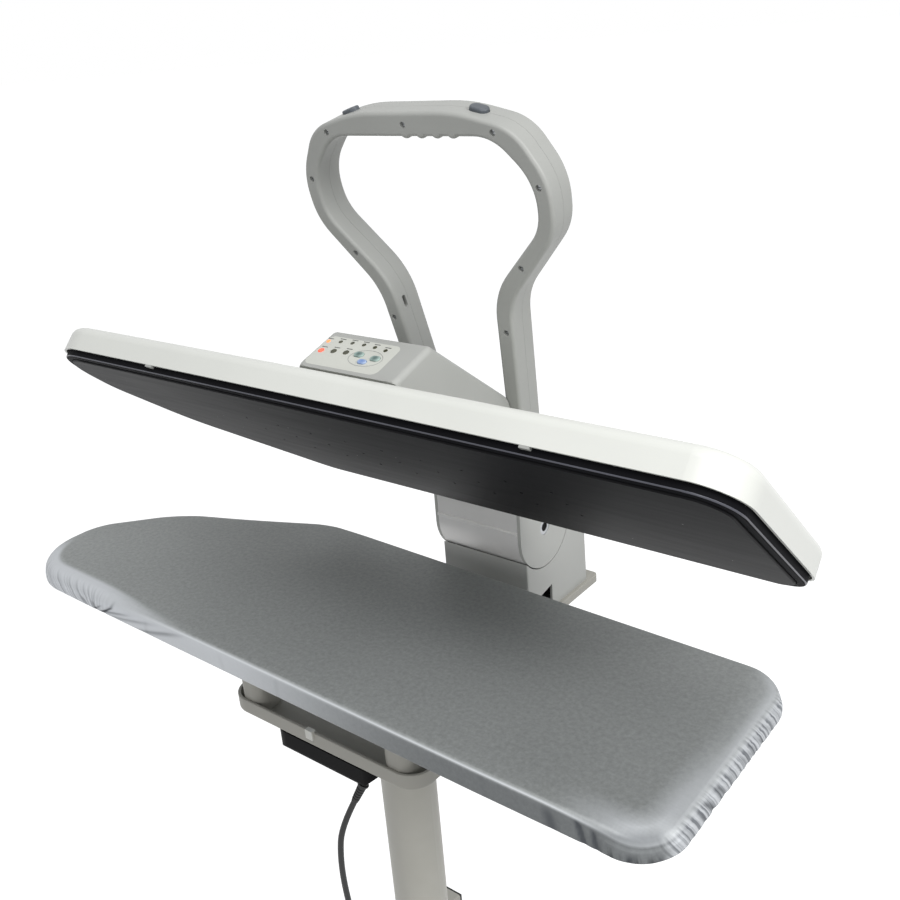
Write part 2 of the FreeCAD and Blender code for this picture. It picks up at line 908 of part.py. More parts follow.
# Padded ironing board
def make_board():
    outline = board_outline()
    low = board_top - board_height
    cloth = slab(outline, low, board_top)
    cloth = fillet_level(cloth, cover_edge_r, "Z", board_top)
    cloth = fillet_level(cloth, cover_tuck_r, "Z", low)
    inner_r = cover_edge_r - cover_cloth
    cavity = slab(inset(outline, cover_cloth), low + cover_cloth, board_top - cover_cloth)
    cavity = fillet_level(cavity, inner_r, "Z", board_top - cover_cloth)
    cavity = fillet_level(cavity, cover_tuck_r - cover_cloth, "Z", low + cover_cloth)
    hem = slab(inset(outline, hem_width), low, low + cover_cloth * 2)
    save("board_cover", cloth.cut(cavity).cut(hem))

    pad_top = board_top - cover_cloth - slide_gap
    deck_top = board_top - cover_cloth - pad_thick
    inside = inset(outline, cover_cloth + slide_gap)
    pad = fillet_level(slab(inside, deck_top, pad_top), inner_r - slide_gap, "Z", pad_top)
    save("board_pad", pad)

    skirt_low = low + cover_cloth + slide_gap + cover_tuck_r
    plate = slab(inside, skirt_low, deck_top)
    plate = plate.cut(slab(inset(inside, deck_sheet), skirt_low, deck_top - deck_sheet))
    rail_low = low + deck_sheet
    front_y = base_front + base_wall + slide_gap + post_depth / 2
    for y in (front_y, rear_post_y):
        half = rail_width / 2
        rail = box(-rail_length / 2, rail_length / 2, y - half, y + half, rail_low, deck_top - deck_sheet)
        plate = plate.fuse(rail)
    save("board_plate", plate.removeSplitter())


# Fixed half of the hinge
def sector(r0, r1, start, end, x0, x1):
    """A ring sector about the hinge axis, with angles from +Y towards +Z."""
    def place(radius, angle):
        a = math.radians(angle)
        return V(x0, hinge_y + radius * math.cos(a), hinge_z + radius * math.sin(a))

    middle = (start + end) / 2
    edges = [
        Part.Arc(place(r1, start), place(r1, middle), place(r1, end)).toShape(),
        Part.LineSegment(place(r1, end), place(r0, end)).toShape(),
        Part.Arc(place(r0, end), place(r0, middle), place(r0, start)).toShape(),
        Part.LineSegment(place(r0, start), place(r1, start)).toShape(),
    ]
    return Part.Face(Part.Wire(edges)).extrude(V(x1 - x0, 0, 0))


def make_hinge_block():
    front = hinge_y + block_front
    back = hinge_y + block_back
    top = hinge_z + block_top
    outline = [
        (front, base_top, 0),
        (back, base_top, 0),
        (back - block_back_lean, top, block_back_r),
        (hinge_y + block_notch, top, 0),
        (hinge_y, hinge_z, 0),
        (front, hinge_z - block_front_drop, 0),
    ]
    left = mid_x - block_half
    right = mid_x + block_half
    shell = side_slab(outline, left, right)
    edges = []
    for edge in shell.Edges:
        across = edge.BoundBox.XLength < slide_gap
        if across and edge.BoundBox.ZMax > base_top + slide_gap:
            edges.append(edge)
    shell = shell.makeFillet(block_edge_r, edges)
    hollow = side_slab(inset(outline, block_wall), left + block_wall, right - block_wall)
    below = box(
        left + block_wall, right - block_wall, front + block_wall, back - block_wall,
        base_top, base_top + block_wall * 2,
    )
    shell = shell.cut(hollow).cut(below)
    shell = shell.cut(cylinder_x(left, right, hinge_y, hinge_z, drum_r + drum_gap))
    vent_y = hinge_y - vent_front
    vent_back = vent_y + vent_length
    vent_z = base_top + vent_rise
    vent_top = vent_z + vent_height
    corners = [
        (vent_y, vent_z), (vent_back, vent_z - vent_fall), (vent_back, vent_top), (vent_y, vent_top - vent_drop),
    ]
    vent = side_slab([(y, z, vent_r) for y, z in corners], right - block_wall, right)
    save("hinge_block", shell.cut(vent))

    plate_half = ear_inner + ear_thick + bracket_flange
    plate = box(
        mid_x - plate_half, mid_x + plate_half, front + block_wall + bracket_gap,
        back - block_wall - bracket_gap, base_top, base_top + bracket_plate,
    )
    bracket = plate
    bush_r = hinge_pin_r + running_gap + bush_wall
    foot_z = base_top + bracket_plate
    bushes = []
    for side in (-1, 1):
        x0, x1 = sorted((mid_x + side * ear_inner, mid_x + side * (ear_inner + ear_thick)))
        foot_front = hinge_y + ear_foot_front
        foot_back = hinge_y + ear_foot_back
        ear = side_slab(ear_outline(foot_front, foot_back, foot_z), x0, x1)
        ear = ear.fuse(cylinder_x(x0, x1, hinge_y, hinge_z, ear_head_r))
        ear = ear.cut(cylinder_x(x0, x1, hinge_y, hinge_z, bush_r))
        bracket = bracket.fuse(ear)
        bush = cylinder_x(x0, x1, hinge_y, hinge_z, bush_r)
        bushes.append(bush.cut(cylinder_x(x0, x1, hinge_y, hinge_z, hinge_pin_r + running_gap)))
    save("hinge_bracket", bracket.removeSplitter())
    save("hinge_bushes", *bushes)

    for name, side in (("hinge_spring_left", -1), ("hinge_spring_right", 1)):
        start = ear_inner + ear_thick + spring_gap + spring_wire / 2
        end = drum_half - cheek_thick - cheek_gap - arm_rib - spring_gap - spring_wire / 2

        def spring_point(turn):
            share = turn / spring_turns
            angle = 2 * math.pi * turn
            x = mid_x + side * (start + (end - start) * share)
            return V(x, hinge_y + spring_r * math.cos(angle), hinge_z + spring_r * math.sin(angle))

        spring, _ = wound_tube(spring_point, spring_turns, spring_wire, 0, 0)
        print(name, "least gap", round(least_gap(spring_point, spring_turns, spring_wire), 2))
        save(name, spring)


def ear_outline(foot_front, foot_back, foot_z):
    """The flank of an ear: its foot, and the two lines that touch the round head."""
    def touch(y, z, way):
        dy = y - hinge_y
        dz = z - hinge_z
        distance = math.hypot(dy, dz)
        angle = math.atan2(dz, dy) + way * math.acos(ear_head_r / distance)
        return hinge_y + ear_head_r * math.cos(angle), hinge_z + ear_head_r * math.sin(angle)

    front = touch(foot_front, foot_z, -1)
    back = touch(foot_back, foot_z, 1)
    return [
        (foot_front, foot_z, 0),
        (foot_back, foot_z, 0),
        (back[0], back[1], 0),
        (hinge_y, hinge_z, 0),
        (front[0], front[1], 0),
    ]


# Turning half of the hinge: drum, cheeks, arm and pin
def handle_prism(outer_inset, inner_outset, v0, v1, s0, s1):
    """The loop of the handle as a bar of constant depth, upright over the hinge."""
    def whole(side, distance):
        low_x, low_s, _ = side[0]
        slope = (side[1][0] - low_x) / (side[1][1] - low_s)
        foot = [(low_x - slope * 2 * loop_foot, low_s - 2 * loop_foot, 0)]
        right = foot + side[1:]
        left = [(-x, s, r) for x, s, r in reversed(right)]
        return inset(right + left, distance)

    def prism(outline):
        wire = rounded_wire([(V(mid_x + x, hinge_y + v0, hinge_z + s), r) for x, s, r in outline])
        return Part.Face(wire).extrude(V(0, v1 - v0, 0))

    bar = prism(whole(loop_outside, outer_inset)).cut(prism(whole(loop_inside, -inner_outset)))
    limit = box(
        mid_x - loop_reach, mid_x + loop_reach, hinge_y + v0, hinge_y + v1, hinge_z + s0, hinge_z + s1
    )
    return bar.common(limit)


def make_hinge_arm():
    # The drum is drawn at the open rest pose, where its front plate stands upright.
    inner_half = drum_half - cheek_thick - cheek_gap
    left = mid_x - inner_half
    right = mid_x + inner_half
    shell = sector(drum_r - drum_wall, drum_r, arm_shell_start, arm_shell_end, left, right)
    hub = cylinder_x(mid_x - hub_half, mid_x + hub_half, hinge_y, hinge_z, hub_r)
    arm = shell.fuse(hub)
    for side in (-1, 1):
        x0, x1 = sorted((mid_x + side * (hub_half - arm_web), mid_x + side * hub_half))
        web = sector(hub_r - arm_root, drum_r - drum_wall / 2, arm_web_start, arm_web_end, x0, x1)
        arm = arm.fuse(web)
        x0, x1 = sorted((mid_x + side * inner_half, mid_x + side * (inner_half - arm_rib)))
        rib = sector(drum_r - arm_rib_depth, drum_r - drum_wall / 2, arm_shell_start, arm_shell_end, x0, x1)
        arm = arm.fuse(rib)

    stubs = handle_prism(0, 0, -handle_half_depth, handle_half_depth, stub_start, leg_start)
    tangs = handle_prism(
        handle_wall + tang_gap, handle_wall + tang_gap,
        -handle_half_depth + handle_face + tang_gap, handle_half_depth - handle_face - tang_gap,
        stub_start, tang_top,
    )
    stubs = turned(stubs.fuse(tangs), handle_lean)
    for side in (-1, 1):
        x0, x1 = sorted((mid_x + side * (yoke_half - arm_root), mid_x + side * inner_half))
        knee = turned(
            box(
                x0, x1, hinge_y - handle_half_depth, hinge_y + handle_half_depth,
                hinge_z + drum_r - drum_wall - 3 * arm_root, hinge_z + stub_start + arm_root,
            ),
            handle_lean,
        )
        keep = cylinder_x(x0, x1, hinge_y, hinge_z, drum_r - drum_wall / 2)
        arm = arm.fuse(knee.cut(keep))
    arm = arm.fuse(stubs)

    # The beam lies on the head cover, so it is drawn closed and turned to rest.
    beam_low = head_top
    beam = box(
        mid_x - beam_half, mid_x + beam_half, board_front + beam_front, hinge_y - drum_r * 0.55,
        beam_low, beam_low + beam_thick,
    )
    yoke = box(
        mid_x - yoke_half, mid_x + yoke_half, board_front + yoke_start, hinge_y - drum_r * 0.55,
        beam_low, beam_low + beam_thick,
    )
    beam = beam.fuse(yoke)
    for sx in (-1, 1):
        for y in head_bolt_ys:
            spot = V(mid_x + sx * head_bolt_x, board_front + y, beam_low)
            beam = beam.cut(cylinder(spot, Z_AXIS, bolt_r + bolt_hole_gap, beam_thick))
    beam = turned(beam, -open_angle)
    beam = beam.cut(cylinder_x(left, right, hinge_y, hinge_z, drum_r - drum_wall))
    arm = arm.fuse(beam)
    bore = cylinder_x(left, right, hinge_y, hinge_z, hinge_pin_r + fit_gap)
    save("hinge_arm", arm.cut(bore).removeSplitter())

    front = hinge_y - drum_r
    top = hinge_z + tangent_rise
    cover = sector(drum_r - drum_wall, drum_r, 180, drum_front_end, left, right)
    plate = box(left, right, front, front + drum_wall, hinge_z, top)
    ridge_z = hinge_z + ridge_rise
    ridge = box(left, right, front - ridge_proud, front, ridge_z, ridge_z + ridge_height)
    ridge = ridge.makeFillet(ridge_proud * 0.6, [
        e for e in ridge.Edges
        if e.BoundBox.XLength > drum_half and abs(e.BoundBox.YMin - (front - ridge_proud)) < 1e-4
    ])
    cover = cover.fuse(plate).fuse(ridge).removeSplitter()
    save("drum_cover", cover)

    cheeks = []
    for side in (-1, 1):
        x0, x1 = sorted((mid_x + side * (drum_half - cheek_thick), mid_x + side * drum_half))
        cheek = cylinder_x(x0, x1, hinge_y, hinge_z, drum_r)
        wing = box(x0, x1, front, hinge_y - handle_half_depth - wing_setback, hinge_z, top)
        cheek = cheek.fuse(wing).removeSplitter()
        cheeks.append(cheek.cut(cylinder_x(x0, x1, hinge_y, hinge_z, hinge_pin_r + fit_gap)))
    save("drum_cheeks", *cheeks)

    ends = mid_x - drum_half + pin_setback, mid_x + drum_half - pin_setback
    pin = cylinder_x(ends[0], ends[1], hinge_y, hinge_z, hinge_pin_r)
    save("hinge_pin", pin.cut(cylinder_x(ends[0], ends[1], hinge_y, hinge_z, hinge_pin_bore)))
    plugs = []
    for side in (-1, 1):
        outer_end = drum_half - plug_setback
        x0, x1 = sorted((mid_x + side * (outer_end - plug_depth), mid_x + side * outer_end))
        plugs.append(cylinder_x(x0, x1, hinge_y, hinge_z, hinge_pin_bore - fit_gap))
    save("pin_plugs", *plugs)


# Head: cover, skirt, sole plate and what lies between
def make_head():
    outline = [(x + head_shift, y, r) for x, y, r in board_outline()]
    outer = inset(outline, -cover_flare)
    cover = fillet_level(slab(outer, head_rim, head_top), head_edge_r, "Z", head_top)
    inner_top = head_top - cover_wall
    hollow = slab(inset(outer, cover_wall), head_rim, inner_top)
    hollow = fillet_level(hollow, head_edge_r - cover_wall, "Z", inner_top)
    cover = cover.cut(hollow)

    sole_outline = inset(outline, sole_inset)
    sole = slab(sole_outline, sole_face, sole_back)
    sole = fillet_level(sole, sole_edge_r, "Z", sole_face)
    for column in range(steam_columns):
        for row in steam_rows:
            x = head_right - steam_first - column * steam_pitch
            y = board_front + row
            sole = sole.cut(cylinder(V(x, y, sole_face), Z_AXIS, steam_hole_d / 2, sole_thick))

    skirt_low = sole_face + skirt_rise
    skirt_high = board_top + skirt_top
    skirt = slab(inset(outline, skirt_inset), skirt_low, skirt_high)
    skirt = fillet_level(skirt, skirt_edge_r, "Z", skirt_low)
    skirt = skirt.cut(slab(inset(outline, skirt_inset + skirt_wall), skirt_low, sole_back))
    skirt = skirt.cut(slab(inset(outline, skirt_inset + skirt_flange), sole_back, skirt_high))
    save_head("sole_skirt", skirt)

    shield_low = sole_back + boss_height
    shield_high = shield_low + shield_sheet
    shield = slab(inset(outline, shield_inset), shield_low, shield_high)
    bolts = []
    spacers = []
    hole_r = bolt_r + bolt_hole_gap
    for sx in (-1, 1):
        for row in head_bolt_ys:
            x = mid_x + sx * head_bolt_x
            y = board_front + row
            spot = V(x, y, sole_back)
            boss = cylinder(spot, Z_AXIS, boss_r, boss_height)
            sole = sole.fuse(boss).cut(cylinder(V(x, y, sole_back + boss_floor), Z_AXIS, hole_r, boss_height))
            hole = cylinder(V(x, y, shield_low), Z_AXIS, hole_r, head_top - shield_low)
            shield = shield.cut(hole)
            cover = cover.cut(hole)
            spacer = cylinder(V(x, y, shield_high), Z_AXIS, spacer_r, inner_top - shield_high)
            spacers.append(spacer.cut(hole))
            grip = head_top + beam_thick - sole_back - 2 * boss_floor
            bolts.append(bolt(x, y, head_top + beam_thick, 1, grip))
    save_head("head_spacers", *spacers)
    save_head("head_bolts", *bolts)
    save_head("heat_shield", shield)

    # The tubular element is laid in a groove in the back of the sole plate.
    low = board_front + element_inset
    high = board_front + board_depth_right - element_inset
    right = head_right - element_inset
    left = head_right - board_length + element_nose_in
    shoulder = head_right - shoulder_x - element_inset / 2
    points = [
        (right - element_back_run, high, 0), (right, high, element_bend_r), (right, low, element_bend_r),
        (left, low + element_step, element_nose_r), (left, board_front + nose_side_y, element_bend_r),
        (shoulder, high + element_step, element_bend_r), (shoulder + element_end_run, high + element_step, 0),
    ]
    route = [(V(x, y, sole_back), r) for x, y, r in points]
    wire = rounded_wire(route, closed=False)

    def along(diameter):
        way = route[1][0] - route[0][0]
        ring = Part.Wire(Part.Circle(route[0][0], way, diameter / 2).toShape())
        return wire.makePipeShell([ring], True, False)

    element = along(element_d)
    sole = sole.cut(along(element_d + 2 * fit_gap))
    save_head("heating_element", element)
    save_head("sole_plate", sole.removeSplitter())

    x = mid_x + stat_x
    y = board_front + stat_y
    stat = cylinder(V(x, y, sole_back), Z_AXIS, stat_r, stat_height)
    w = stat_tab_width / 2
    reach = stat_tab_length / 2
    stat_top = sole_back + stat_height
    stat = stat.fuse(box(x - w, x + w, y - reach, y + reach, stat_top, stat_top + stat_tab_height))
    save_head("thermostat", stat.removeSplitter())

    clips = []
    for from_right in cover_clip_places:
        x = head_right - from_right
        front = edge_y(x)
        w = cover_clip_width / 2
        y0 = front - cover_flare + cover_wall + slide_gap
        y1 = front + skirt_inset - slide_gap
        lip = box(x - w, x + w, y0 - cover_wall, y1, head_rim - cover_clip_lip, head_rim)
        tongue = box(x - w, x + w, y0, y1, head_rim, head_rim + cover_clip_rise)
        clips.append(lip.fuse(tongue).removeSplitter())
    save_head("cover_clips", *clips)
    save_head("head_cover", cover)


def edge_y(x):
    """The front edge of the head's outline at x."""
    bow = head_right - front_bow_x
    nose = head_right - board_length
    share = max(bow - x, 0) / (bow - nose)
    return board_front + nose_front_y * share


# Control housing, panel and water parts, drawn closed
def on_panel(shape):
    """From the flat panel frame (X, up the slope, outwards) to the sloping face."""
    copy = shape.copy()
    origin = V(0, board_front + housing_front, board_top + panel_foot)
    copy.Placement = FreeCAD.Placement(origin, FreeCAD.Rotation(X_AXIS, panel_angle))
    return copy


def housing_profile():
    """The side view of the housing. Its foot stands back under the panel's lower edge."""
    foot_y = board_front + housing_front + foot_recess
    return [
        (foot_y, head_top, 0),
        (board_front + housing_back, head_top, 0),
        (board_front + housing_back, board_top + crest_z - crest_fall, 0),
        (board_front + crest_y, board_top + crest_z, crest_r),
        (board_front + panel_head_y, board_top + panel_head_z, panel_head_r),
        (board_front + housing_front, board_top + panel_foot, 0),
        (foot_y, board_top + panel_foot, 0),
    ]


def housing_plan():
    return [
        (mid_x - housing_half_front, board_front + housing_front, housing_corner_r),
        (mid_x + housing_half_front, board_front + housing_front, housing_corner_r),
        (mid_x + housing_half_back, board_front + housing_back, 0),
        (mid_x - housing_half_back, board_front + housing_back, 0),
    ]


def behind_legs(gap):
    """Everything behind the front of the handle legs, and the given gap before it."""
    reach = 3 * housing_half_front
    space = box(
        mid_x - reach, mid_x + reach, hinge_y - handle_half_depth - gap, hinge_y + reach,
        hinge_z - reach, hinge_z + 2 * reach,
    )
    return turned(space, handle_lean + open_angle)


def housing_outside():
    body = side_slab(housing_profile(), mid_x - housing_half_front, mid_x + housing_half_front)
    body = body.common(slab(housing_plan(), head_top, board_top + crest_z))
    middle = board_top + (panel_foot + panel_head_z) / 2
    top_edges = [e for e in body.Edges if e.BoundBox.ZMin > middle and e.BoundBox.YLength > crest_y / 2]
    return body.makeFillet(housing_edge_r, top_edges).cut(behind_legs(leg_gap))


def housing_room():
    """The space inside the housing, open below onto the head cover."""
    outside = housing_profile()
    foot_y = outside[0][0]
    panel_slope = (panel_head_z - panel_foot) / (panel_head_y - housing_front)
    above_foot = board_top + panel_foot + panel_slope * foot_recess
    profile = inset(outside[:5] + [(foot_y, above_foot, 0)], housing_wall)
    for i in (0, 1):
        profile[i] = (profile[i][0], head_top - housing_wall, 0)
    body = side_slab(profile, mid_x - housing_half_front, mid_x + housing_half_front)
    plan = inset(housing_plan(), housing_side_wall)
    body = body.common(slab(plan, head_top - housing_wall, board_top + crest_z))
    return body.cut(behind_legs(leg_gap + housing_wall))


def lamp_place(i):
    """The upper row of lamps follows a slight arch across the panel."""
    half_span = (lamp_count - 1) * lamp_pitch / 2
    from_middle = i * lamp_pitch - half_span
    return lamp_in + i * lamp_pitch, lamp_row - lamp_arch * (from_middle / half_span) ** 2, led_r


def make_housing():
    shell = housing_outside().cut(housing_room())

    # The beam leaves the housing through the rear wall.
    gate = box(
        mid_x - yoke_half - gate_gap, mid_x + yoke_half + gate_gap, board_front + yoke_start - gate_depth,
        board_front + housing_back + gate_depth, head_top, head_top + beam_thick + gate_gap,
    )
    shell = shell.cut(gate)

    neck_x = mid_x
    neck_at = board_front + neck_y
    crest_slope = (crest_z - panel_head_z) / (crest_y - panel_head_y)
    roof = board_top + panel_head_z + crest_slope * (neck_y - panel_head_y)
    rim = roof + boss_rise
    spout_low = roof - 2 * housing_wall
    spout = cylinder(V(neck_x, neck_at, spout_low), Z_AXIS, cap_r + spout_lip, rim - spout_low)
    bore = cylinder(V(neck_x, neck_at, roof - crest_r), Z_AXIS, neck_r + neck_gap, 2 * crest_r)
    shell = shell.fuse(spout).cut(bore)

    # Places on the panel are measured from its left side.
    panel_left = mid_x - housing_half_front
    film_left = panel_left + film_in
    film_right = film_left + film_length
    film = slab(
        [
            (film_left, film_low, film_r),
            (film_right, film_low, film_r),
            (film_right, film_high, film_r),
            (film_left, film_high, film_r),
        ],
        -film_thick, 0,
    )
    shell = shell.cut(on_panel(film))

    lamps = {
        "led_orange": [lamp_place(0)],
        "led_red": [(12.0, 27.0, led_big_r)],
        "led_olive": [(27.5, 29.0, led_big_r), (43.5, 30.0, led_big_r)],
    }
    lamps["led_olive"] += [lamp_place(i) for i in range(1, lamp_count)]
    circuit_z = -board_depth_behind
    for name, places in lamps.items():
        lenses = []
        for dx, t, r in places:
            lens = cylinder(V(panel_left + dx, t, circuit_z), Z_AXIS, r, board_depth_behind + led_proud)
            lenses.append(on_panel(fillet_level(lens, led_proud * 0.9, "Z", led_proud)))
            hole = cylinder(V(panel_left + dx, t, circuit_z), Z_AXIS, r + fit_gap, board_depth_behind + led_proud)
            film = film.cut(hole)
            shell = shell.cut(on_panel(hole))
        save_head(name, *lenses)

    keys = (
        ("panel_key_left", 61.0, 30.0, 11.5, 7.5),
        ("panel_key_right", 83.5, 28.0, 11.5, 7.5),
        ("panel_key_steam", 72.5, 20.5, 10.5, 6.5),
    )
    for name, dx, t, length, width in keys:
        key_x = panel_left + dx
        key = slab(oval(key_x, t, length, width), key_proud - key_depth, key_proud)
        key = fillet_level(key, key_edge_r, "Z", key_proud)
        save_head(name, on_panel(key))
        hole = slab(oval(key_x, t, length + 2 * key_gap, width + 2 * key_gap), -housing_wall * 2, 1)
        film = film.cut(hole)
        shell = shell.cut(on_panel(hole))
    save_head("panel_film", on_panel(film))

    circuit_left = panel_left + circuit_in
    circuit_right = circuit_left + circuit_length
    circuit = box(
        circuit_left, circuit_right, circuit_low, circuit_high, circuit_z - circuit_thick, circuit_z,
    )
    post_height = board_depth_behind - housing_wall / 2
    posts_high = circuit_high - circuit_post_top
    posts_low = circuit_low + circuit_post_low
    for post_x, t in (
        (circuit_left + circuit_post_left, posts_high),
        (circuit_right - circuit_post_right, posts_high),
        (circuit_right - circuit_post_right, posts_low),
        (circuit_left + circuit_post_mid, posts_low),
    ):
        post = cylinder(V(post_x, t, circuit_z), Z_AXIS, circuit_post_r, post_height)
        shell = shell.fuse(on_panel(post))
    for name, dx, t, _, _ in keys:
        foot = key_proud - key_depth - key_travel - key_gap
        w = switch_width / 2
        d = switch_depth / 2
        key_x = panel_left + dx
        switch = box(key_x - w, key_x + w, t - d, t + d, circuit_z, foot)
        circuit = circuit.fuse(switch)
    save_head("control_board", on_panel(circuit.removeSplitter()))
    save_head("control_housing", shell.removeSplitter())

    tank_low = head_top + beam_thick
    tank_y0 = board_front + tank_front
    tank_y1 = board_front + tank_back
    tank = box(mid_x - tank_half, mid_x + tank_half, tank_y0, tank_y1, tank_low, board_top + tank_top)
    tank = tank.makeFillet(tank_corner_r, [e for e in tank.Edges if e.BoundBox.ZLength > tank_half / 2])
    neck = cylinder(V(neck_x, neck_at, board_top + tank_top), Z_AXIS, neck_r, rim - board_top - tank_top)
    w = tank_half - tank_wall
    inner = box(
        mid_x - w, mid_x + w, tank_y0 + tank_wall, tank_y1 - tank_wall,
        tank_low + tank_wall, board_top + tank_top - tank_wall,
    )
    throat_low = board_top + tank_top - 2 * tank_wall
    throat = cylinder(V(neck_x, neck_at, throat_low), Z_AXIS, neck_r - tank_wall, rim - throat_low)
    save_head("water_tank", tank.fuse(neck).removeSplitter().cut(inner).cut(throat))

    cap = cylinder(V(neck_x, neck_at, rim + key_gap), Z_AXIS, cap_r, cap_height)
    cap = fillet_level(cap, cap_edge_r, "Z", rim + key_gap + cap_height)
    ring_r = cap_r + cap_grip_r - cap_grip_depth
    for i in range(cap_grips):
        a = 2 * math.pi * i / cap_grips
        spot = V(neck_x + ring_r * math.cos(a), neck_at + ring_r * math.sin(a), rim)
        cap = cap.cut(cylinder(spot, Z_AXIS, cap_grip_r, 2 * cap_height))
    stopper_r = neck_r - tank_wall - running_gap
    stopper = cylinder(V(neck_x, neck_at, rim - stopper_depth), Z_AXIS, stopper_r, stopper_depth + key_gap)
    save_head("filler_cap", cap.fuse(stopper).removeSplitter())

    x1 = mid_x - beam_half - inner_gap
    y0 = board_front + pump_front
    y1 = y0 + pump_length
    pump = box(x1 - pump_width, x1, y0, y1, head_top, head_top + pump_height)
    motor_at = V(x1 - pump_width / 2, y1, head_top + pump_height / 2)
    motor = cylinder(motor_at, Y_AXIS, pump_width / 2, motor_length)
    save_head("water_pump", pump.fuse(motor).removeSplitter())
    x0 = mid_x + beam_half + inner_gap
    y0 = board_front + boiler_front
    boiler = box(x0, x0 + boiler_width, y0, y0 + boiler_length, head_top, head_top + boiler_height)
    nozzle_at = V(x0 + boiler_width / 2, y0, head_top + nozzle_rise)
    nozzle = cylinder(nozzle_at, Y_AXIS * -1, nozzle_r, nozzle_length)
    save_head("steam_boiler", boiler.fuse(nozzle).removeSplitter())


# Handle loop: two shells, screws and steam keys
def screw_places():
    return [(way * x, s) for x, s in loop_screws for way in (-1, 1)] + [(0.0, loop_top_screw)]


def steam_key_frame(side):
    """Where a steam key leaves the top of the loop, and which way it points."""
    x1, s1, _ = loop_outside[-2]
    x0, s0, _ = loop_outside[-1]
    slope = (s1 - s0) / (x1 - x0)
    s = s0 + slope * (steam_key_x - x0) - steam_key_sunk
    lean = math.degrees(math.atan(-slope))
    place = FreeCAD.Placement(
        V(mid_x + side * steam_key_x, hinge_y, hinge_z + s), FreeCAD.Rotation(Y_AXIS, side * lean)
    )
    return place


def make_handle():
    depth = handle_half_depth
    front = handle_prism(0, 0, -depth, -handle_split, leg_start + tang_gap, loop_limit)
    back = handle_prism(0, 0, handle_split, depth, leg_start + tang_gap, loop_limit)
    bumps = []
    for i in range(grip_bump_count):
        x = mid_x + grip_bump_first + i * grip_bump_pitch
        s = hinge_z + loop_inside[-1][1] + grip_bump_r - grip_bump_drop
        bumps.append((x, s))
    for x, s in bumps:
        front = front.fuse(cylinder(V(x, hinge_y - depth, s), Y_AXIS, grip_bump_r, depth - handle_split))
        back = back.fuse(cylinder(V(x, hinge_y + handle_split, s), Y_AXIS, grip_bump_r, depth - handle_split))
    front = fillet_level(front.removeSplitter(), handle_edge_r, "Y", hinge_y - depth)
    back = fillet_level(back.removeSplitter(), handle_edge_r, "Y", hinge_y + depth)
    room_half = depth - handle_face
    room = handle_prism(handle_wall, handle_wall, -room_half, room_half, leg_start - handle_wall, loop_limit)
    front = front.cut(room)
    back = back.cut(room)

    screws = []
    for x, s in screw_places():
        spot = V(mid_x + x, hinge_y - depth, hinge_z + s)
        head_seat = screw_recess
        root = handle_face / 2
        post_length = depth - root - handle_split
        post = cylinder(spot + V(0, root, 0), Y_AXIS, screw_post_r, post_length)
        front = front.fuse(post)
        recess = cylinder(spot, Y_AXIS, screw_recess_r, head_seat)
        through = cylinder(spot, Y_AXIS, screw_shank_r + bolt_hole_gap, depth)
        front = front.cut(recess).cut(through)
        post = cylinder(V(spot.x, hinge_y + handle_split, spot.z), Y_AXIS, screw_post_r, post_length)
        back = back.fuse(post)
        thread = cylinder(V(spot.x, hinge_y, spot.z), Y_AXIS, screw_shank_r + fit_gap, depth - handle_face)
        back = back.cut(thread)
        seat = spot + V(0, head_seat, 0)
        head = cylinder(seat - V(0, screw_head_h, 0), Y_AXIS, screw_head_r, screw_head_h)
        top = seat.y - screw_head_h
        w = screw_slot_w / 2
        slot = box(
            seat.x - screw_head_r, seat.x + screw_head_r, top, top + screw_slot_d, seat.z - w, seat.z + w
        )
        shank = cylinder(seat, Y_AXIS, screw_shank_r, depth + screw_tail - head_seat)
        screws.append(head.cut(slot).fuse(shank).removeSplitter())

    for name, side in (("steam_key_left", -1), ("steam_key_right", 1)):
        place = steam_key_frame(side)
        hole_length = steam_key_length + 2 * steam_key_gap
        hole_width = steam_key_width + 2 * steam_key_gap
        hole = slab(oval(0, 0, hole_length, hole_width), -handle_wall * 2, handle_wall)
        hole.Placement = place
        front = front.cut(hole)
        back = back.cut(hole)
        key = slab(oval(0, 0, steam_key_length, steam_key_width), -steam_key_root, steam_key_proud)
        key = fillet_level(key, steam_key_edge_r, "Z", steam_key_proud)
        key.Placement = place
        save_handle(name, key)

    slot = slab(oval(0, 0, leg_slot_width, leg_slot_length), -leg_slot_depth / 2, leg_slot_depth / 2)
    slot.rotate(V(0, 0, 0), X_AXIS, 90)
    slot.rotate(V(0, 0, 0), Z_AXIS, 90)
    slot.translate(V(mid_x - leg_slot_x, hinge_y - leg_slot_back, hinge_z + leg_slot_s))
    front = front.cut(slot)
    back = back.cut(slot)
    save_handle("handle_front", front.removeSplitter())
    save_handle("handle_back", back.removeSplitter())
    save_handle("handle_screws", *screws)


make_stand()
make_base()
make_lead()
make_board()
make_hinge_block()
make_hinge_arm()
make_head()
make_housing()
make_handle()
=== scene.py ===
# %% [markdown]
# # A steam ironing press on its pedestal
#
# The rigid pieces of this press come from CAD and are already in the right place. This lesson
# dresses them: each piece gets the finish of its real material, and the soft pieces, which CAD
# only holds as plain solids, are made again as cloth, felt and flex. The first step loads the CAD
# model. Its box is measured at once, because the finished model has to stay the same size.

# %% Load the CAD frame
import math
import random

import bmesh
import bpy
import numpy as np
from mathutils import Matrix, Vector


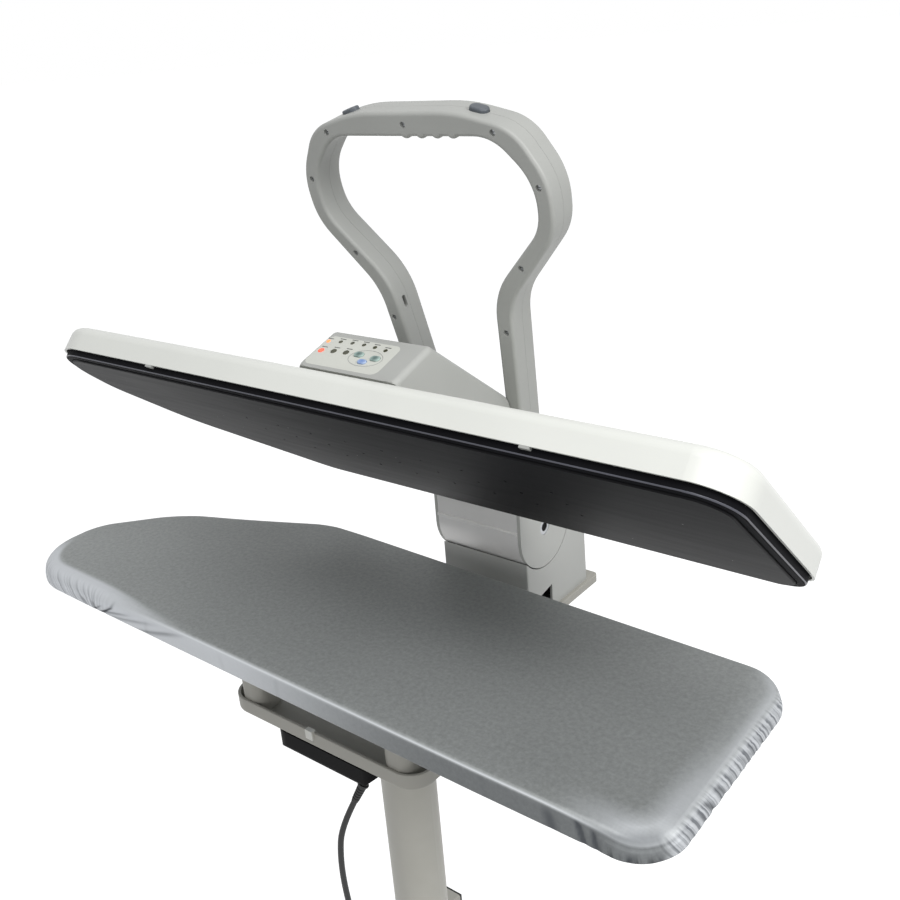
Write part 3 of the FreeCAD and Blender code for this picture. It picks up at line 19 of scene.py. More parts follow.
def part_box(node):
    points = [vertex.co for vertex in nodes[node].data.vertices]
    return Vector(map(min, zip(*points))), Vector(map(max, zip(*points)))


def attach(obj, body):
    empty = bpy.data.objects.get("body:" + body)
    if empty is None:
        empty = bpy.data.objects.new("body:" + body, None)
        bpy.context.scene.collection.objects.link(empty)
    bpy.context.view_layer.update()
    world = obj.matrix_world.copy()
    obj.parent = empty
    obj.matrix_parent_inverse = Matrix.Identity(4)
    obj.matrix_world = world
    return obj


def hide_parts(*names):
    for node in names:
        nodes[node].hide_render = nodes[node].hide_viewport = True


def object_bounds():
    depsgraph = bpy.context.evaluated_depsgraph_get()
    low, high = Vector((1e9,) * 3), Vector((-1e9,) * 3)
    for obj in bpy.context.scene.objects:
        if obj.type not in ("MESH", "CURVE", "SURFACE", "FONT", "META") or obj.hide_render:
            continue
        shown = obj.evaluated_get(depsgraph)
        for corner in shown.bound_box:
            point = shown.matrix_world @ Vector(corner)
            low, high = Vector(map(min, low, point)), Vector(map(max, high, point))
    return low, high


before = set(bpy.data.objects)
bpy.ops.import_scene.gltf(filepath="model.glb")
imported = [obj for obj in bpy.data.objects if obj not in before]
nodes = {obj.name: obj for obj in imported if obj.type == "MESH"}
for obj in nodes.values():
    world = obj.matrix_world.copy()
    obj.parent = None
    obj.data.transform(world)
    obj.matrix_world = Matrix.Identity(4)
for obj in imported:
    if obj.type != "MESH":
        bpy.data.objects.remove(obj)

cad_low, cad_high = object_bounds()
MM = 0.001
column_low, column_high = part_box("column_tube")
COLUMN_X = (column_low[0] + column_high[0]) / 2 / MM
cad_size = [round(v, 3) for v in cad_high - cad_low]
print("CAD nodes", len(nodes), "box", cad_size, "column at", round(COLUMN_X, 2))

# %% [markdown]
# ## The camera
#
# A photograph fixes where the camera stood. Here its place, its turn, its tilt and a slight roll
# were solved from the board's outline, so the render can be laid over the photograph. The three
# axes of the camera are worked out from those angles and written straight into its matrix, which
# is clearer than a chain of rotations. Places here and below are in millimetres from the column.

# %% Camera at the photograph's place
CAMERA_ANGLES = (39.68, 22.45, -4.47)
CAMERA_PLACE = Vector((COLUMN_X + 686.1, -703.7, 1424.1))
LENS, SENSOR = 41.39, 36.0
turn, tilt, roll = (math.radians(a) for a in CAMERA_ANGLES)
level = Vector((math.cos(turn), math.sin(turn), 0))
ahead = Vector((-math.sin(turn) * math.cos(tilt), math.cos(turn) * math.cos(tilt), -math.sin(tilt)))
upright = level.cross(ahead)
camera_x = math.cos(roll) * level + math.sin(roll) * upright
camera_y = math.cos(roll) * upright - math.sin(roll) * level

lens_data = bpy.data.cameras.new("photo_camera")
lens_data.sensor_width = SENSOR
lens_data.lens = LENS
lens_data.clip_end = 200
camera = bpy.data.objects.new("photo_camera", lens_data)
bpy.context.scene.collection.objects.link(camera)
turned_axes = Matrix((camera_x, camera_y, -ahead)).transposed()
camera.matrix_world = Matrix.Translation(CAMERA_PLACE * MM) @ turned_axes.to_4x4()
bpy.context.scene.camera = camera
bpy.context.scene.view_settings.view_transform = "Standard"
print("camera at", [round(v, 3) for v in camera.location])

# %% [markdown]
# ## Small helpers
#
# Colours are picked as sRGB hex values, as a paint chart gives them, and Blender's sockets want
# linear light, so one function turns them. A second function adds a shader node with its settings
# and its links in one line. A third starts a material with an empty tree, and a last one makes an
# object out of a bmesh and sets how it is carried.

# %% Colour, node and piece helpers
def colour(hex_value):
    """An sRGB hex colour as linear RGBA."""
    channels = [int(hex_value[i:i + 2], 16) / 255 for i in (1, 3, 5)]
    linear = [c / 12.92 if c <= 0.04045 else ((c + 0.055) / 1.055) ** 2.4 for c in channels]
    return (*linear, 1.0)


def node(tree, kind, settings=None, links=None):
    """Adds one shader node. Settings go to its sockets or, failing that, to its properties."""
    made = tree.nodes.new("ShaderNode" + kind)
    for key, value in (settings or {}).items():
        if isinstance(key, int) or key in made.inputs:
            made.inputs[key].default_value = value
        else:
            setattr(made, key, value)
    for key, source in (links or {}).items():
        tree.links.new(source, made.inputs[key])
    return made


def blank_material(name):
    """A new material with an empty node tree, and that tree."""
    material = bpy.data.materials.new(name)
    material.use_nodes = True
    material.node_tree.nodes.clear()
    return material, material.node_tree


def per(size_mm):
    """The texture scale whose pattern repeats about once in this many millimetres."""
    return 1 / (size_mm * MM)


def piece(name, mesh_builder, body, material, smooth=True):
    """Turns a bmesh into an object that rides on a CAD body and has a finish."""
    mesh = bpy.data.meshes.new(name)
    mesh_builder.to_mesh(mesh)
    mesh_builder.free()
    if smooth:
        mesh.polygons.foreach_set("use_smooth", [True] * len(mesh.polygons))
    obj = bpy.data.objects.new(name, mesh)
    bpy.context.scene.collection.objects.link(obj)
    mesh.materials.append(material)
    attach(obj, body)
    print(name, len(mesh.vertices), "vertices")
    return obj


print("helpers ready; pure white is", colour("#FFFFFF"))

# %% [markdown]
# ## Floor, world and lamps
#
# The press stands alone on white, so the floor is a pale sheet far larger than the press. Only
# what the camera sees directly, or in a reflection, is lifted to white: the floor still takes the
# shadow, and no extra light falls on the press. Three soft lamps, from the right, from overhead
# and a weak one from the front, give the long highlights that moulded covers and cloth need.

# %% A pale floor
def seen_directly(tree):
    """One where a ray comes from the camera, a reflection or clear plastic, otherwise zero."""
    path = node(tree, "LightPath")
    two = node(tree, "Math", {"operation": "ADD"},
               {0: path.outputs["Is Camera Ray"], 1: path.outputs["Is Glossy Ray"]})
    three = node(tree, "Math", {"operation": "ADD", "use_clamp": True},
                 {0: two.outputs[0], 1: path.outputs["Is Transmission Ray"]})
    return three.outputs[0]


# The floor is half paper and half glow, so a glow of two would be white with no lamp at all.
FLOOR_RADIUS = 60
FLOOR_GLOW = 1.82
floor_paint, tree = blank_material("white_paper_sweep")
paper = node(tree, "BsdfDiffuse", {"Color": colour("#F4F4F4")})
seen_white = node(tree, "Math", {"operation": "MULTIPLY", 1: FLOOR_GLOW}, {0: seen_directly(tree)})
glow = node(tree, "Emission", {"Color": colour("#FFFFFF")}, {"Strength": seen_white.outputs[0]})
lift = node(tree, "MixShader", {"Fac": 0.5}, {1: paper.outputs[0], 2: glow.outputs[0]})
node(tree, "OutputMaterial", links={"Surface": lift.outputs[0]})

sweep = bmesh.new()
bmesh.ops.create_circle(sweep, cap_ends=True, segments=96, radius=FLOOR_RADIUS)
floor_mesh = bpy.data.meshes.new("studio_floor")
sweep.to_mesh(floor_mesh)
sweep.free()
floor_mesh.materials.append(floor_paint)
floor = bpy.data.objects.new("studio_floor", floor_mesh)
bpy.context.scene.collection.objects.link(floor)
print("floor radius", FLOOR_RADIUS, "m")

# %% White world and three soft lamps
world = bpy.data.worlds.new("studio_white")
world.use_nodes = True
bpy.context.scene.world = world
tree = world.node_tree
tree.nodes.clear()
ambient = node(tree, "Background", {"Color": colour("#F3F6FA"), "Strength": 0.35})
backdrop = node(tree, "Background", {"Color": colour("#FFFFFF"), "Strength": 1.0})
both = node(tree, "MixShader", links={
    "Fac": seen_directly(tree), 1: ambient.outputs[0], 2: backdrop.outputs[0]})
node(tree, "OutputWorld", links={"Surface": both.outputs[0]})

# Each lamp: its place, what it aims at, its size in metres and its power in watts
for name, place, aim, size, power in (
    ("right_softbox", (2.4, -0.1, 2.5), (0.1, 0.05, 0.95), 1.2, 39.0),
    ("top_softbox", (1.0, -0.9, 3.5), (0.0, 0.0, 0.95), 1.6, 36.5),
    ("front_softbox", (0.9, -1.9, 1.4), (0.0, 0.1, 0.93), 0.8, 10.0),
):
    lamp_data = bpy.data.lights.new(name, "AREA")
    lamp_data.size = size
    lamp_data.energy = power
    lamp = bpy.data.objects.new(name, lamp_data)
    lamp.location = place
    lamp.rotation_euler = (Vector(aim) - Vector(place)).to_track_quat("-Z", "Y").to_euler()
    bpy.context.scene.collection.objects.link(lamp)
print("stage set: floor, world and three lamps")

# %% [markdown]
# ## Moulded and painted finishes
#
# Most of the press is moulded plastic or powder-coated steel. Both are a smooth colour with a very
# fine grain: the mould's spark-eroded skin, or the orange peel of melted powder. One recipe serves
# them all. A slow noise shifts the colour and the gloss a little over a hand's breadth, and a fine
# noise is the grain in a bump. The grain's real size is under half a millimetre, too fine for the
# picture, so each is drawn about twice as coarse.

# %% The recipe for grained finishes
def grained(name, base, shade, grain_mm, depth_mm, rough, patch_mm=110, constants=None):
    """A colour that drifts to a shade of itself, with a fine grain and uneven gloss."""
    material, tree = blank_material(name)
    place = node(tree, "TexCoord").outputs["Object"]
    drift = node(tree, "TexNoise", {"Scale": per(patch_mm), "Detail": 4.0, "Roughness": 0.55},
                 {"Vector": place})
    grain = node(tree, "TexNoise", {"Scale": per(grain_mm), "Detail": 2.0}, {"Vector": place})
    tone = node(tree, "ValToRGB", links={"Fac": drift.outputs["Fac"]})
    tone.color_ramp.elements[0].position = 0.30
    tone.color_ramp.elements[0].color = colour(shade)
    tone.color_ramp.elements[1].position = 0.62
    tone.color_ramp.elements[1].color = colour(base)
    gloss = node(tree, "MapRange", {"To Min": rough[0], "To Max": rough[1]},
                 {"Value": drift.outputs["Fac"]})
    bump = node(tree, "Bump", {"Strength": 0.5, "Distance": depth_mm * MM},
                {"Height": grain.outputs["Fac"]})
    skin = node(tree, "BsdfPrincipled", constants, {
        "Base Color": tone.outputs["Color"],
        "Roughness": gloss.outputs["Result"],
        "Normal": bump.outputs["Normal"],
    })
    node(tree, "OutputMaterial", links={"Surface": skin.outputs[0]})
    return material


# Painted ABS, polished mould: bright, with a clear soft reflection.
cover_white = grained("polished_abs_offwhite", "#E0E1DB", "#DCDDD7", 1.2, 0.02, (0.29, 0.37), 160)
# ABS from a spark-eroded mould: an even satin grey.
satin_grey = grained("satin_abs_grey", "#AAABA7", "#A4A5A1", 0.9, 0.05, (0.40, 0.52), 140)
# The same plastic on the hinge, drawn lighter as painted light, to make up for the shade it stands in under
# the head.
hinge_lightened_grey = grained("satin_abs_grey_painted_light", "#B4B5B1", "#AEAFAB", 0.9, 0.05, (0.40, 0.52), 140)
# Powder-coated steel: warm cream with orange peel, a little duller where it was handled.
cream_powder = grained("powder_coat_cream", "#C3C1B8", "#B9B7AD", 1.6, 0.07, (0.38, 0.52), 120)
# The same coat on the pan under the board, drawn greyer as painted shade for the shade the board casts on
# it.
pan_shaded_powder = grained("powder_coat_painted_shade", "#A6A49C", "#9C9A92", 1.6, 0.07, (0.42, 0.56), 120)
# Phenolic moulding: nearly black, dull from heat.
phenolic = grained("phenolic_black", "#121215", "#0E0E11", 0.9, 0.05, (0.62, 0.72), 90,
                   {"Specular IOR Level": 0.05})
# Black ABS with a coarse mould texture.
black_abs = grained("textured_abs_black", "#0A0A0B", "#070708", 1.1, 0.09, (0.50, 0.62), 60,
                    {"Specular IOR Level": 0.06})
# PVC flex: soft black, slightly dusty.
black_pvc = grained("pvc_flex_black", "#141414", "#0C0C0C", 1.4, 0.05, (0.42, 0.58), 40)
# Vulcanised rubber: matt, greyed by the floor.
foot_rubber = grained("rubber_black", "#1C1C1C", "#131313", 1.6, 0.12, (0.65, 0.80), 30)
# Nylon: milky white with a waxy gloss.
nylon = grained("nylon_white", "#DEDED8", "#D3D3CC", 0.8, 0.03, (0.35, 0.45), 20,
                {"Subsurface Weight": 0.15, "Subsurface Radius": (0.002, 0.002, 0.0015)})
# Polycarbonate film, screen-printed from behind: a satin face, a touch lighter than the housing, which is
# in part painted light for the light its upward slope catches.
film_satin_lit = grained("polycarbonate_film", "#CBCCC4", "#C6C7BF", 0.7, 0.015, (0.34, 0.42), 60)
# Silicone keys: soft gloss.
key_charcoal = grained("silicone_charcoal", "#565B61", "#4B5056", 0.8, 0.03, (0.42, 0.52), 15)
# Cast aluminium under grey paint.
cast_paint = grained("painted_cast_aluminium", "#ABACA8", "#A0A19D", 1.8, 0.12, (0.42, 0.54), 70)
# Silver stove paint on the steel drum: a slight metal flake, paler than the plastic beside it, and drawn
# paler still as painted light for the shade it stands in under the head.
drum_paint = grained("silver_stove_paint", "#E2E1DF", "#DBDAD8", 1.0, 0.03, (0.36, 0.46), 80,
                     {"Metallic": 0.2})
# Glass-epoxy circuit board under green resist.
circuit_resist = grained("circuit_board_green", "#1E5A34", "#174A2A", 0.6, 0.02, (0.25, 0.35), 25)
# Pressed wool felt: matt, pale and flocky.
wool_felt = grained("wool_felt", "#D8D2BE", "#C4BDA6", 2.2, 0.5, (0.85, 0.95), 35,
                    {"Sheen Weight": 0.4, "Sheen Roughness": 0.5})
print("grained finishes ready")

# %% [markdown]
# ## Metals and the clear tank
#
# Zinc-plated steel, bronze and bare castings are metals: their colour is in the reflection, and
# what tells them apart is how that reflection is smeared. A noise stretched along one axis stands
# for the drawing or turning marks. The water tank is moulded in natural polypropylene, which lets
# light through but blurs it.

# %% Metals and polypropylene
def brushed(name, base, dark, rough, streak_mm, along=(1.0, 12.0, 12.0)):
    """A bare metal whose gloss varies in fine streaks."""
    material, tree = blank_material(name)
    place = node(tree, "TexCoord").outputs["Object"]
    stretched = node(tree, "Mapping", {"Scale": along}, {"Vector": place})
    streak = node(tree, "TexNoise", {"Scale": per(streak_mm), "Detail": 3.0},
                  {"Vector": stretched.outputs[0]})
    tone = node(tree, "ValToRGB", links={"Fac": streak.outputs["Fac"]})
    tone.color_ramp.elements[0].color = colour(dark)
    tone.color_ramp.elements[1].color = colour(base)
    gloss = node(tree, "MapRange", {"To Min": rough[0], "To Max": rough[1]},
                 {"Value": streak.outputs["Fac"]})
    bump = node(tree, "Bump", {"Strength": 0.3, "Distance": 0.03 * MM},
                {"Height": streak.outputs["Fac"]})
    metal = node(tree, "BsdfPrincipled", {"Metallic": 1.0}, {
        "Base Color": tone.outputs["Color"],
        "Roughness": gloss.outputs["Result"],
        "Normal": bump.outputs["Normal"],
    })
    node(tree, "OutputMaterial", links={"Surface": metal.outputs[0]})
    return material


# Bright zinc on drawn steel: long fine streaks.
zinc_steel = brushed("zinc_plated_steel", "#C4C6C8", "#9A9DA0", (0.28, 0.45), 20)
# Hot-dip galvanised sheet: dull, with no direction.
deck_steel = brushed("galvanised_sheet", "#B2B5B7", "#989B9E", (0.40, 0.55), 30, (3.0, 3.0, 3.0))
# Sintered bronze: brown and porous.
bronze = brushed("sintered_bronze", "#B08A4E", "#8E6D3A", (0.45, 0.6), 6, (4.0, 4.0, 4.0))
# Aluminium as it leaves the mould: pale and rough.
bare_casting = brushed("cast_aluminium", "#B9BABB", "#97989A", (0.5, 0.65), 8, (3.0, 3.0, 3.0))
# Unpigmented polypropylene: milky and half clear.
natural_pp = grained("natural_polypropylene", "#DDE3E6", "#CBD4D8", 1.5, 0.05, (0.35, 0.45), 40,
                     {"Transmission Weight": 0.55, "IOR": 1.49})
print("metals ready")

# %% [markdown]
# ## The sole plate
#
# The sole is cast aluminium under a dark non-stick coat. It is nearly black, but it is smooth and
# seen at a flat angle, so it mirrors the pale room and looks dark grey. Use leaves faint streaks
# along its length and a scatter of pale specks. The streaks are a stretched noise, and the specks
# are the centres of a few Voronoi cells.

# %% Non-stick coat with streaks and specks
STREAK_MM, SPECK_CELL_MM, GRAIN_MM = 120, 14, 1.2
sole_coat, tree = blank_material("nonstick_coat_dark")
place = node(tree, "TexCoord").outputs["Object"]
stretched = node(tree, "Mapping", {"Scale": (1.0, 14.0, 14.0)}, {"Vector": place})
streak = node(tree, "TexNoise", {"Scale": per(STREAK_MM), "Detail": 5.0, "Roughness": 0.6},
              {"Vector": stretched.outputs[0]})
tone = node(tree, "ValToRGB", links={"Fac": streak.outputs["Fac"]})
tone.color_ramp.elements[0].position = 0.30
tone.color_ramp.elements[0].color = colour("#111113")
tone.color_ramp.elements[1].position = 0.75
tone.color_ramp.elements[1].color = colour("#1B1B1D")
cells = node(tree, "TexVoronoi", {"Scale": per(SPECK_CELL_MM), "Randomness": 1.0}, {"Vector": place})
near = node(tree, "Math", {"operation": "LESS_THAN", 1: 0.055}, {0: cells.outputs["Distance"]})
chosen = node(tree, "Math", {"operation": "GREATER_THAN", 1: 0.72}, {0: cells.outputs["Color"]})
speck = node(tree, "Math", {"operation": "MULTIPLY"}, {0: near.outputs[0], 1: chosen.outputs[0]})
dusty = node(tree, "Mix", {"data_type": "RGBA", 7: colour("#7C7C7A")},
             {0: speck.outputs[0], 6: tone.outputs["Color"]})
gloss = node(tree, "MapRange", {"To Min": 0.44, "To Max": 0.58}, {"Value": streak.outputs["Fac"]})
grain = node(tree, "TexNoise", {"Scale": per(GRAIN_MM), "Detail": 2.0}, {"Vector": place})
bump = node(tree, "Bump", {"Strength": 0.4, "Distance": 0.04 * MM}, {"Height": grain.outputs["Fac"]})
coat = node(tree, "BsdfPrincipled", {"Specular IOR Level": 0.07}, {
    "Base Color": dusty.outputs[2],
    "Roughness": gloss.outputs["Result"],
    "Normal": bump.outputs["Normal"],
})
node(tree, "OutputMaterial", links={"Surface": coat.outputs[0]})
print("sole coat ready")

# %% [markdown]
# ## Lamps and panel keys
#
# Two of the panel's lamps are lit. A lit lens glows most in its middle, so its emission falls off
# with distance from its centre, which is measured in object space. The unlit ones are dark tinted
# plastic. Each soft key is a flat oval, and the shade of its dimple is painted on as a darker middle,
# drawn the same way.

# %% Lit lenses, dark lenses and keys with a painted dimple shade
def centre_of(name):
    """The middle of a CAD node's box, in metres."""
    low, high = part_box(name)
    return (low + high) / 2


def from_centre(tree, name, near_mm, far_mm):
    """One at the middle of a node, falling to zero between the two distances."""
    place = node(tree, "TexCoord").outputs["Object"]
    gap = node(tree, "VectorMath", {"operation": "DISTANCE", 1: centre_of(name)}, {0: place})
    fade = node(tree, "MapRange", {
        "From Min": near_mm * MM, "From Max": far_mm * MM, "To Min": 1.0, "To Max": 0.0,
    }, {"Value": gap.outputs["Value"]})
    return fade.outputs["Result"]


def lit_lens(name, hot, rim, part):
    """A tinted lens with a lamp behind it."""
    material, tree = blank_material(name)
    middle = from_centre(tree, part, 1.5, 6.5)
    tone = node(tree, "Mix", {"data_type": "RGBA", 6: colour(rim), 7: colour(hot)}, {0: middle})
    lens = node(tree, "BsdfPrincipled", {"Roughness": 0.18, "Emission Strength": 1.0},
                {"Base Color": tone.outputs[2], "Emission Color": tone.outputs[2]})
    node(tree, "OutputMaterial", links={"Surface": lens.outputs[0]})
    return material


def key_with_shaded_dimple(name, face, dimple, part):
    """A soft key with a darker middle, which is painted shade for its dimple."""
    material, tree = blank_material(name)
    middle = from_centre(tree, part, 2.2, 6.2)
    # The dimple's shade is painted: the middle is mixed toward the darker colour.
    tone = node(tree, "Mix", {"data_type": "RGBA", 6: colour(face), 7: colour(dimple)}, {0: middle})
    skin = node(tree, "BsdfPrincipled", {"Roughness": 0.42}, {"Base Color": tone.outputs[2]})
    node(tree, "OutputMaterial", links={"Surface": skin.outputs[0]})
    return material


# Tinted acrylic with no lamp lit behind it: dark and glossy.
dark_lens = grained("acrylic_olive", "#3A3B1C", "#2A2B15", 2.0, 0.01, (0.12, 0.2), 10)
print("lamp and key finishes ready")

# %% [markdown]
# ## Finishes on the CAD pieces
#
# A CAD node whose shape is right keeps its own mesh, and only its material is changed. One table
# says which finish goes on which pieces, so nothing is forgotten, and the last line checks that.

# %% Give every CAD piece its finish
finish_of = {}
for material, names in (
    (cream_powder, "foot_skid_left foot_skid_right foot_crossbar column_socket column_tube column_head"),
    (pan_shaded_powder, "base_pan front_post_left front_post_right rear_posts"),
    (foot_rubber, "foot_pads"),
    (zinc_steel, "stand_bolts hinge_bracket hinge_pin hinge_spring_left hinge_spring_right head_bolts "
                 "head_spacers handle_screws heating_element thermostat"),
    (deck_steel, "heat_shield board_plate"),
    (nylon, "base_clip"),
    (black_abs, "lead_box terminal_block pin_plugs"),
    (black_pvc, "cord_gland power_cord cord_coil power_plug"),
    (wool_felt, "board_pad board_cover"),
    (satin_grey, "control_housing handle_front handle_back cover_clips"),
    (hinge_lightened_grey, "hinge_block drum_cheeks"),
    (drum_paint, "drum_cover"),
    (bronze, "hinge_bushes"),
    (cast_paint, "hinge_arm"),
    (cover_white, "head_cover"),
    (sole_coat, "sole_plate"),
    (phenolic, "sole_skirt"),
    (film_satin_lit, "panel_film"),
    (circuit_resist, "control_board"),
    (lit_lens("lit_lens_orange", "#FFB36B", "#E2662A", "led_orange"), "led_orange"),
    (lit_lens("lit_lens_red", "#FF8A66", "#D8331E", "led_red"), "led_red"),
    (dark_lens, "led_olive"),
    (natural_pp, "water_tank water_pump"),
    (bare_casting, "steam_boiler"),
    (key_charcoal, "steam_key_left steam_key_right filler_cap"),
    (key_with_shaded_dimple("silicone_teal_left", "#A2B8B1", "#1E3F40", "panel_key_left"), "panel_key_left"),
    (key_with_shaded_dimple("silicone_teal_right", "#A2B8B1", "#1E3F40", "panel_key_right"), "panel_key_right"),
    (key_with_shaded_dimple("silicone_blue", "#A9BAD6", "#5A7FC0", "panel_key_steam"), "panel_key_steam"),
):
    for name in names.split():
        finish_of[name] = material
for name, obj in nodes.items():
    obj.data.materials.clear()
    obj.data.materials.append(finish_of[name])
print("finishes on", len(finish_of), "of", len(nodes), "CAD pieces")

# %% [markdown]
# ## The mains lead
#
# The lead leaves the black box under the base through a strain relief, hangs down past the column
# and ends in a neat coil on the floor. It is one NURBS curve through the points of the CAD route,
# with the turns of the coil as more points of the same curve. Order three keeps the curve close to
# its points without the stiff look of wire that is bent on a jig.

# %% Points of the lead
CORD_D = 6.5
CORD_SHIFT = Vector((COLUMN_X, 0, 0))
lean = Vector((-0.33, -0.36, -0.87)).normalized()
RELIEF_LENGTH = 24.0
lead_exit = Vector((55, -122, 713)) + CORD_SHIFT
lead_start = lead_exit + lean * RELIEF_LENGTH
COIL_X, COIL_Y = COLUMN_X - 78, -122
COIL_TURNS = 5.5
POINTS_PER_TURN = 20
COIL_PITCH, COIL_OUTER = 7.3, 45.0
REVERSAL = 2.75
FIRST_LAYER, LAYER_STEP = 4.15, 7.2
STEP_FROM, STEP_RUN = 2.5, 0.5


def coil_point(turn):
    """A place along the coil, in turns from where the lead comes in: inwards, up a layer, outwards."""
    radius = COIL_OUTER - COIL_PITCH * REVERSAL + COIL_PITCH * abs(turn - REVERSAL)
    share = min(max((turn - STEP_FROM) / STEP_RUN, 0), 1)
    height = FIRST_LAYER + LAYER_STEP * (1 - math.cos(math.pi * share)) / 2
    angle = math.radians(270 - 360 * turn)
    return Vector((COIL_X + radius * math.cos(angle), COIL_Y + radius * math.sin(angle), height))


def coil_way(turn):
    """The lead's direction at a place along the coil."""
    return (coil_point(turn + 0.001) - coil_point(turn - 0.001)).normalized()


coil_in = coil_way(0)
coil_out = coil_way(COIL_TURNS)
STRAIGHT_RUN, COIL_APPROACH, LEAD_TAIL = 35, 34, 24
hanging = [
    (33.5, -148.5, 626), (34, -149, 584), (38, -146, 530), (41, -145, 462),
    (39, -149, 388), (36, -152, 312), (37, -150, 240), (41, -152, 172),
    (40, -157, 112), (33, -163, 62), (16, -167, 24), (-12, -168, 6.65),
]
lead_points = [lead_start, lead_start + lean * STRAIGHT_RUN]
lead_points += [Vector(p) + CORD_SHIFT for p in hanging]
lead_points.append(coil_point(0) - coil_in * COIL_APPROACH)
steps = round(COIL_TURNS * POINTS_PER_TURN)
lead_points += [coil_point(i / POINTS_PER_TURN) for i in range(steps + 1)]
lead_points += [coil_point(COIL_TURNS) + coil_out * run for run in (LEAD_TAIL / 2, LEAD_TAIL)]
print("lead points", len(lead_points))

# %% One NURBS curve for the lead
lead_curve = bpy.data.curves.new("mains_lead", "CURVE")
lead_curve.dimensions = "3D"
lead_curve.bevel_depth = CORD_D / 2 * MM
lead_curve.bevel_resolution = 5
lead_curve.use_fill_caps = True
lead_curve.resolution_u = 6
spline = lead_curve.splines.new("NURBS")
spline.points.add(len(lead_points) - 1)
for target, point in zip(spline.points, lead_points):
    target.co = (*(point * MM), 1.0)
spline.order_u = 3
spline.use_endpoint_u = True
lead_curve.materials.append(black_pvc)
lead = bpy.data.objects.new("mains_lead", lead_curve)
bpy.context.scene.collection.objects.link(lead)
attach(lead, "stand")
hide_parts("power_cord", "cord_coil")
print("lead of", CORD_D, "mm on", len(spline.points), "points")

# %% [markdown]
# ## What is on the lead
#
# The strain relief is a tapered sleeve with ribs, which lets the lead bend without kinking at the
# box. A ribbed sleeve is a solid of revolution, so half its section is drawn once and spun about
# the lead's direction. The coil is held by a strap: a thin band round the bundle, made from a
# rectangle with rounded corners. Two bright pins on the plug finish the far end.

# %% Ribbed strain relief
def verts_in(geometry):
    """The vertices among what an operator made."""
    return [part for part in geometry if isinstance(part, bmesh.types.BMVert)]


def along(start, way):
    """A matrix that takes Z at the origin to a direction at a start point, in metres."""
    return Matrix.Translation(start * MM) @ way.to_track_quat("Z", "Y").to_matrix().to_4x4()


def spun(section_mm, steps=40):
    """A closed solid of revolution about Z from (radius, height) points, in metres."""
    shape = bmesh.new()
    ring = [shape.verts.new((radius * MM, 0, height * MM)) for radius, height in section_mm]
    edges = [shape.edges.new(pair) for pair in zip(ring, ring[1:])]
    bmesh.ops.spin(shape, geom=ring + edges, axis=(0, 0, 1), cent=(0, 0, 0), angle=math.tau,
                   steps=steps, use_merge=True)
    bmesh.ops.remove_doubles(shape, verts=shape.verts, dist=1e-6)
    bmesh.ops.recalc_face_normals(shape, faces=shape.faces)
    return shape


RIBS = 6
section = [(0.0, -8.0), (4.5, -8.0), (4.5, 0.6), (6.2, 0.9), (6.2, 2.4), (4.6, 2.9)]
for i in range(RIBS):
    foot = 4.0 + i * (RELIEF_LENGTH - 5.5) / RIBS
    outer = 4.9 - 0.75 * i / (RIBS - 1)
    section += [(outer, foot), (outer, foot + 1.5), (outer - 0.8, foot + 1.9), (outer - 0.8, foot + 2.7)]
section += [(3.75, RELIEF_LENGTH - 1.0), (3.55, RELIEF_LENGTH), (3.25, RELIEF_LENGTH), (0.0, RELIEF_LENGTH)]
relief_mesh = spun(section)
bmesh.ops.transform(relief_mesh, matrix=along(lead_exit, lean), verts=relief_mesh.verts)
relief = piece("strain_relief", relief_mesh, "stand", black_pvc, smooth=False)
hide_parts("cord_gland")

# %% Strap round the coil
STRAP_WIDTH, STRAP_THICK, STRAP_CORNER = 7.0, 0.6, 3.0
strap_mesh = bmesh.new()
inner_r, outer_r, low_z, high_z = 20.6, 46.5, 0.75, 15.2
corner_points = [(inner_r, low_z), (outer_r, low_z), (outer_r, high_z), (inner_r, high_z)]
loop = [strap_mesh.verts.new((COIL_X * MM, (COIL_Y + r) * MM, z * MM)) for r, z in corner_points]
strap_mesh.faces.new(loop)
bmesh.ops.bevel(strap_mesh, geom=loop, offset=STRAP_CORNER * MM, offset_type="OFFSET", affect="VERTICES",
                segments=5, profile=0.5, material=-1, clamp_overlap=True)
flat = strap_mesh.faces[:]
grown = bmesh.ops.extrude_edge_only(strap_mesh, edges=strap_mesh.edges[:])["geom"]
bmesh.ops.translate(strap_mesh, vec=(STRAP_WIDTH * MM, 0, 0), verts=verts_in(grown))
bmesh.ops.delete(strap_mesh, geom=flat, context="FACES_ONLY")
bmesh.ops.translate(strap_mesh, vec=(-STRAP_WIDTH / 2 * MM, 0, 0), verts=strap_mesh.verts)
bmesh.ops.recalc_face_normals(strap_mesh, faces=strap_mesh.faces)
bmesh.ops.solidify(strap_mesh, geom=strap_mesh.faces, thickness=STRAP_THICK * MM)
strap = piece("coil_strap", strap_mesh, "stand", foot_rubber, smooth=False)

# %% Bright pins on the plug
PIN_SPACING, PIN_R, PIN_LENGTH = 19.0, 2.45, 19.2
PLUG_NECK, PLUG_BODY = 22, 40
plug_face = coil_point(COIL_TURNS) + coil_out * (LEAD_TAIL + PLUG_NECK + PLUG_BODY)
plug_across = Vector((0, 0, 1)).cross(coil_out)
pin_section = [(0.0, 0.2), (PIN_R, 0.2), (PIN_R, PIN_LENGTH - 1.8), (PIN_R - 0.7, PIN_LENGTH - 0.4),
               (PIN_R - 1.5, PIN_LENGTH), (0.0, PIN_LENGTH)]
for side, hand in ((-1, "left"), (1, "right")):
    pin_mesh = spun(pin_section, 24)
    root = plug_face + plug_across * (side * PIN_SPACING / 2)
    bmesh.ops.transform(pin_mesh, matrix=along(root, coil_out), verts=pin_mesh.verts)
    piece("plug_pin_" + hand, pin_mesh, "stand", zinc_steel, smooth=False)

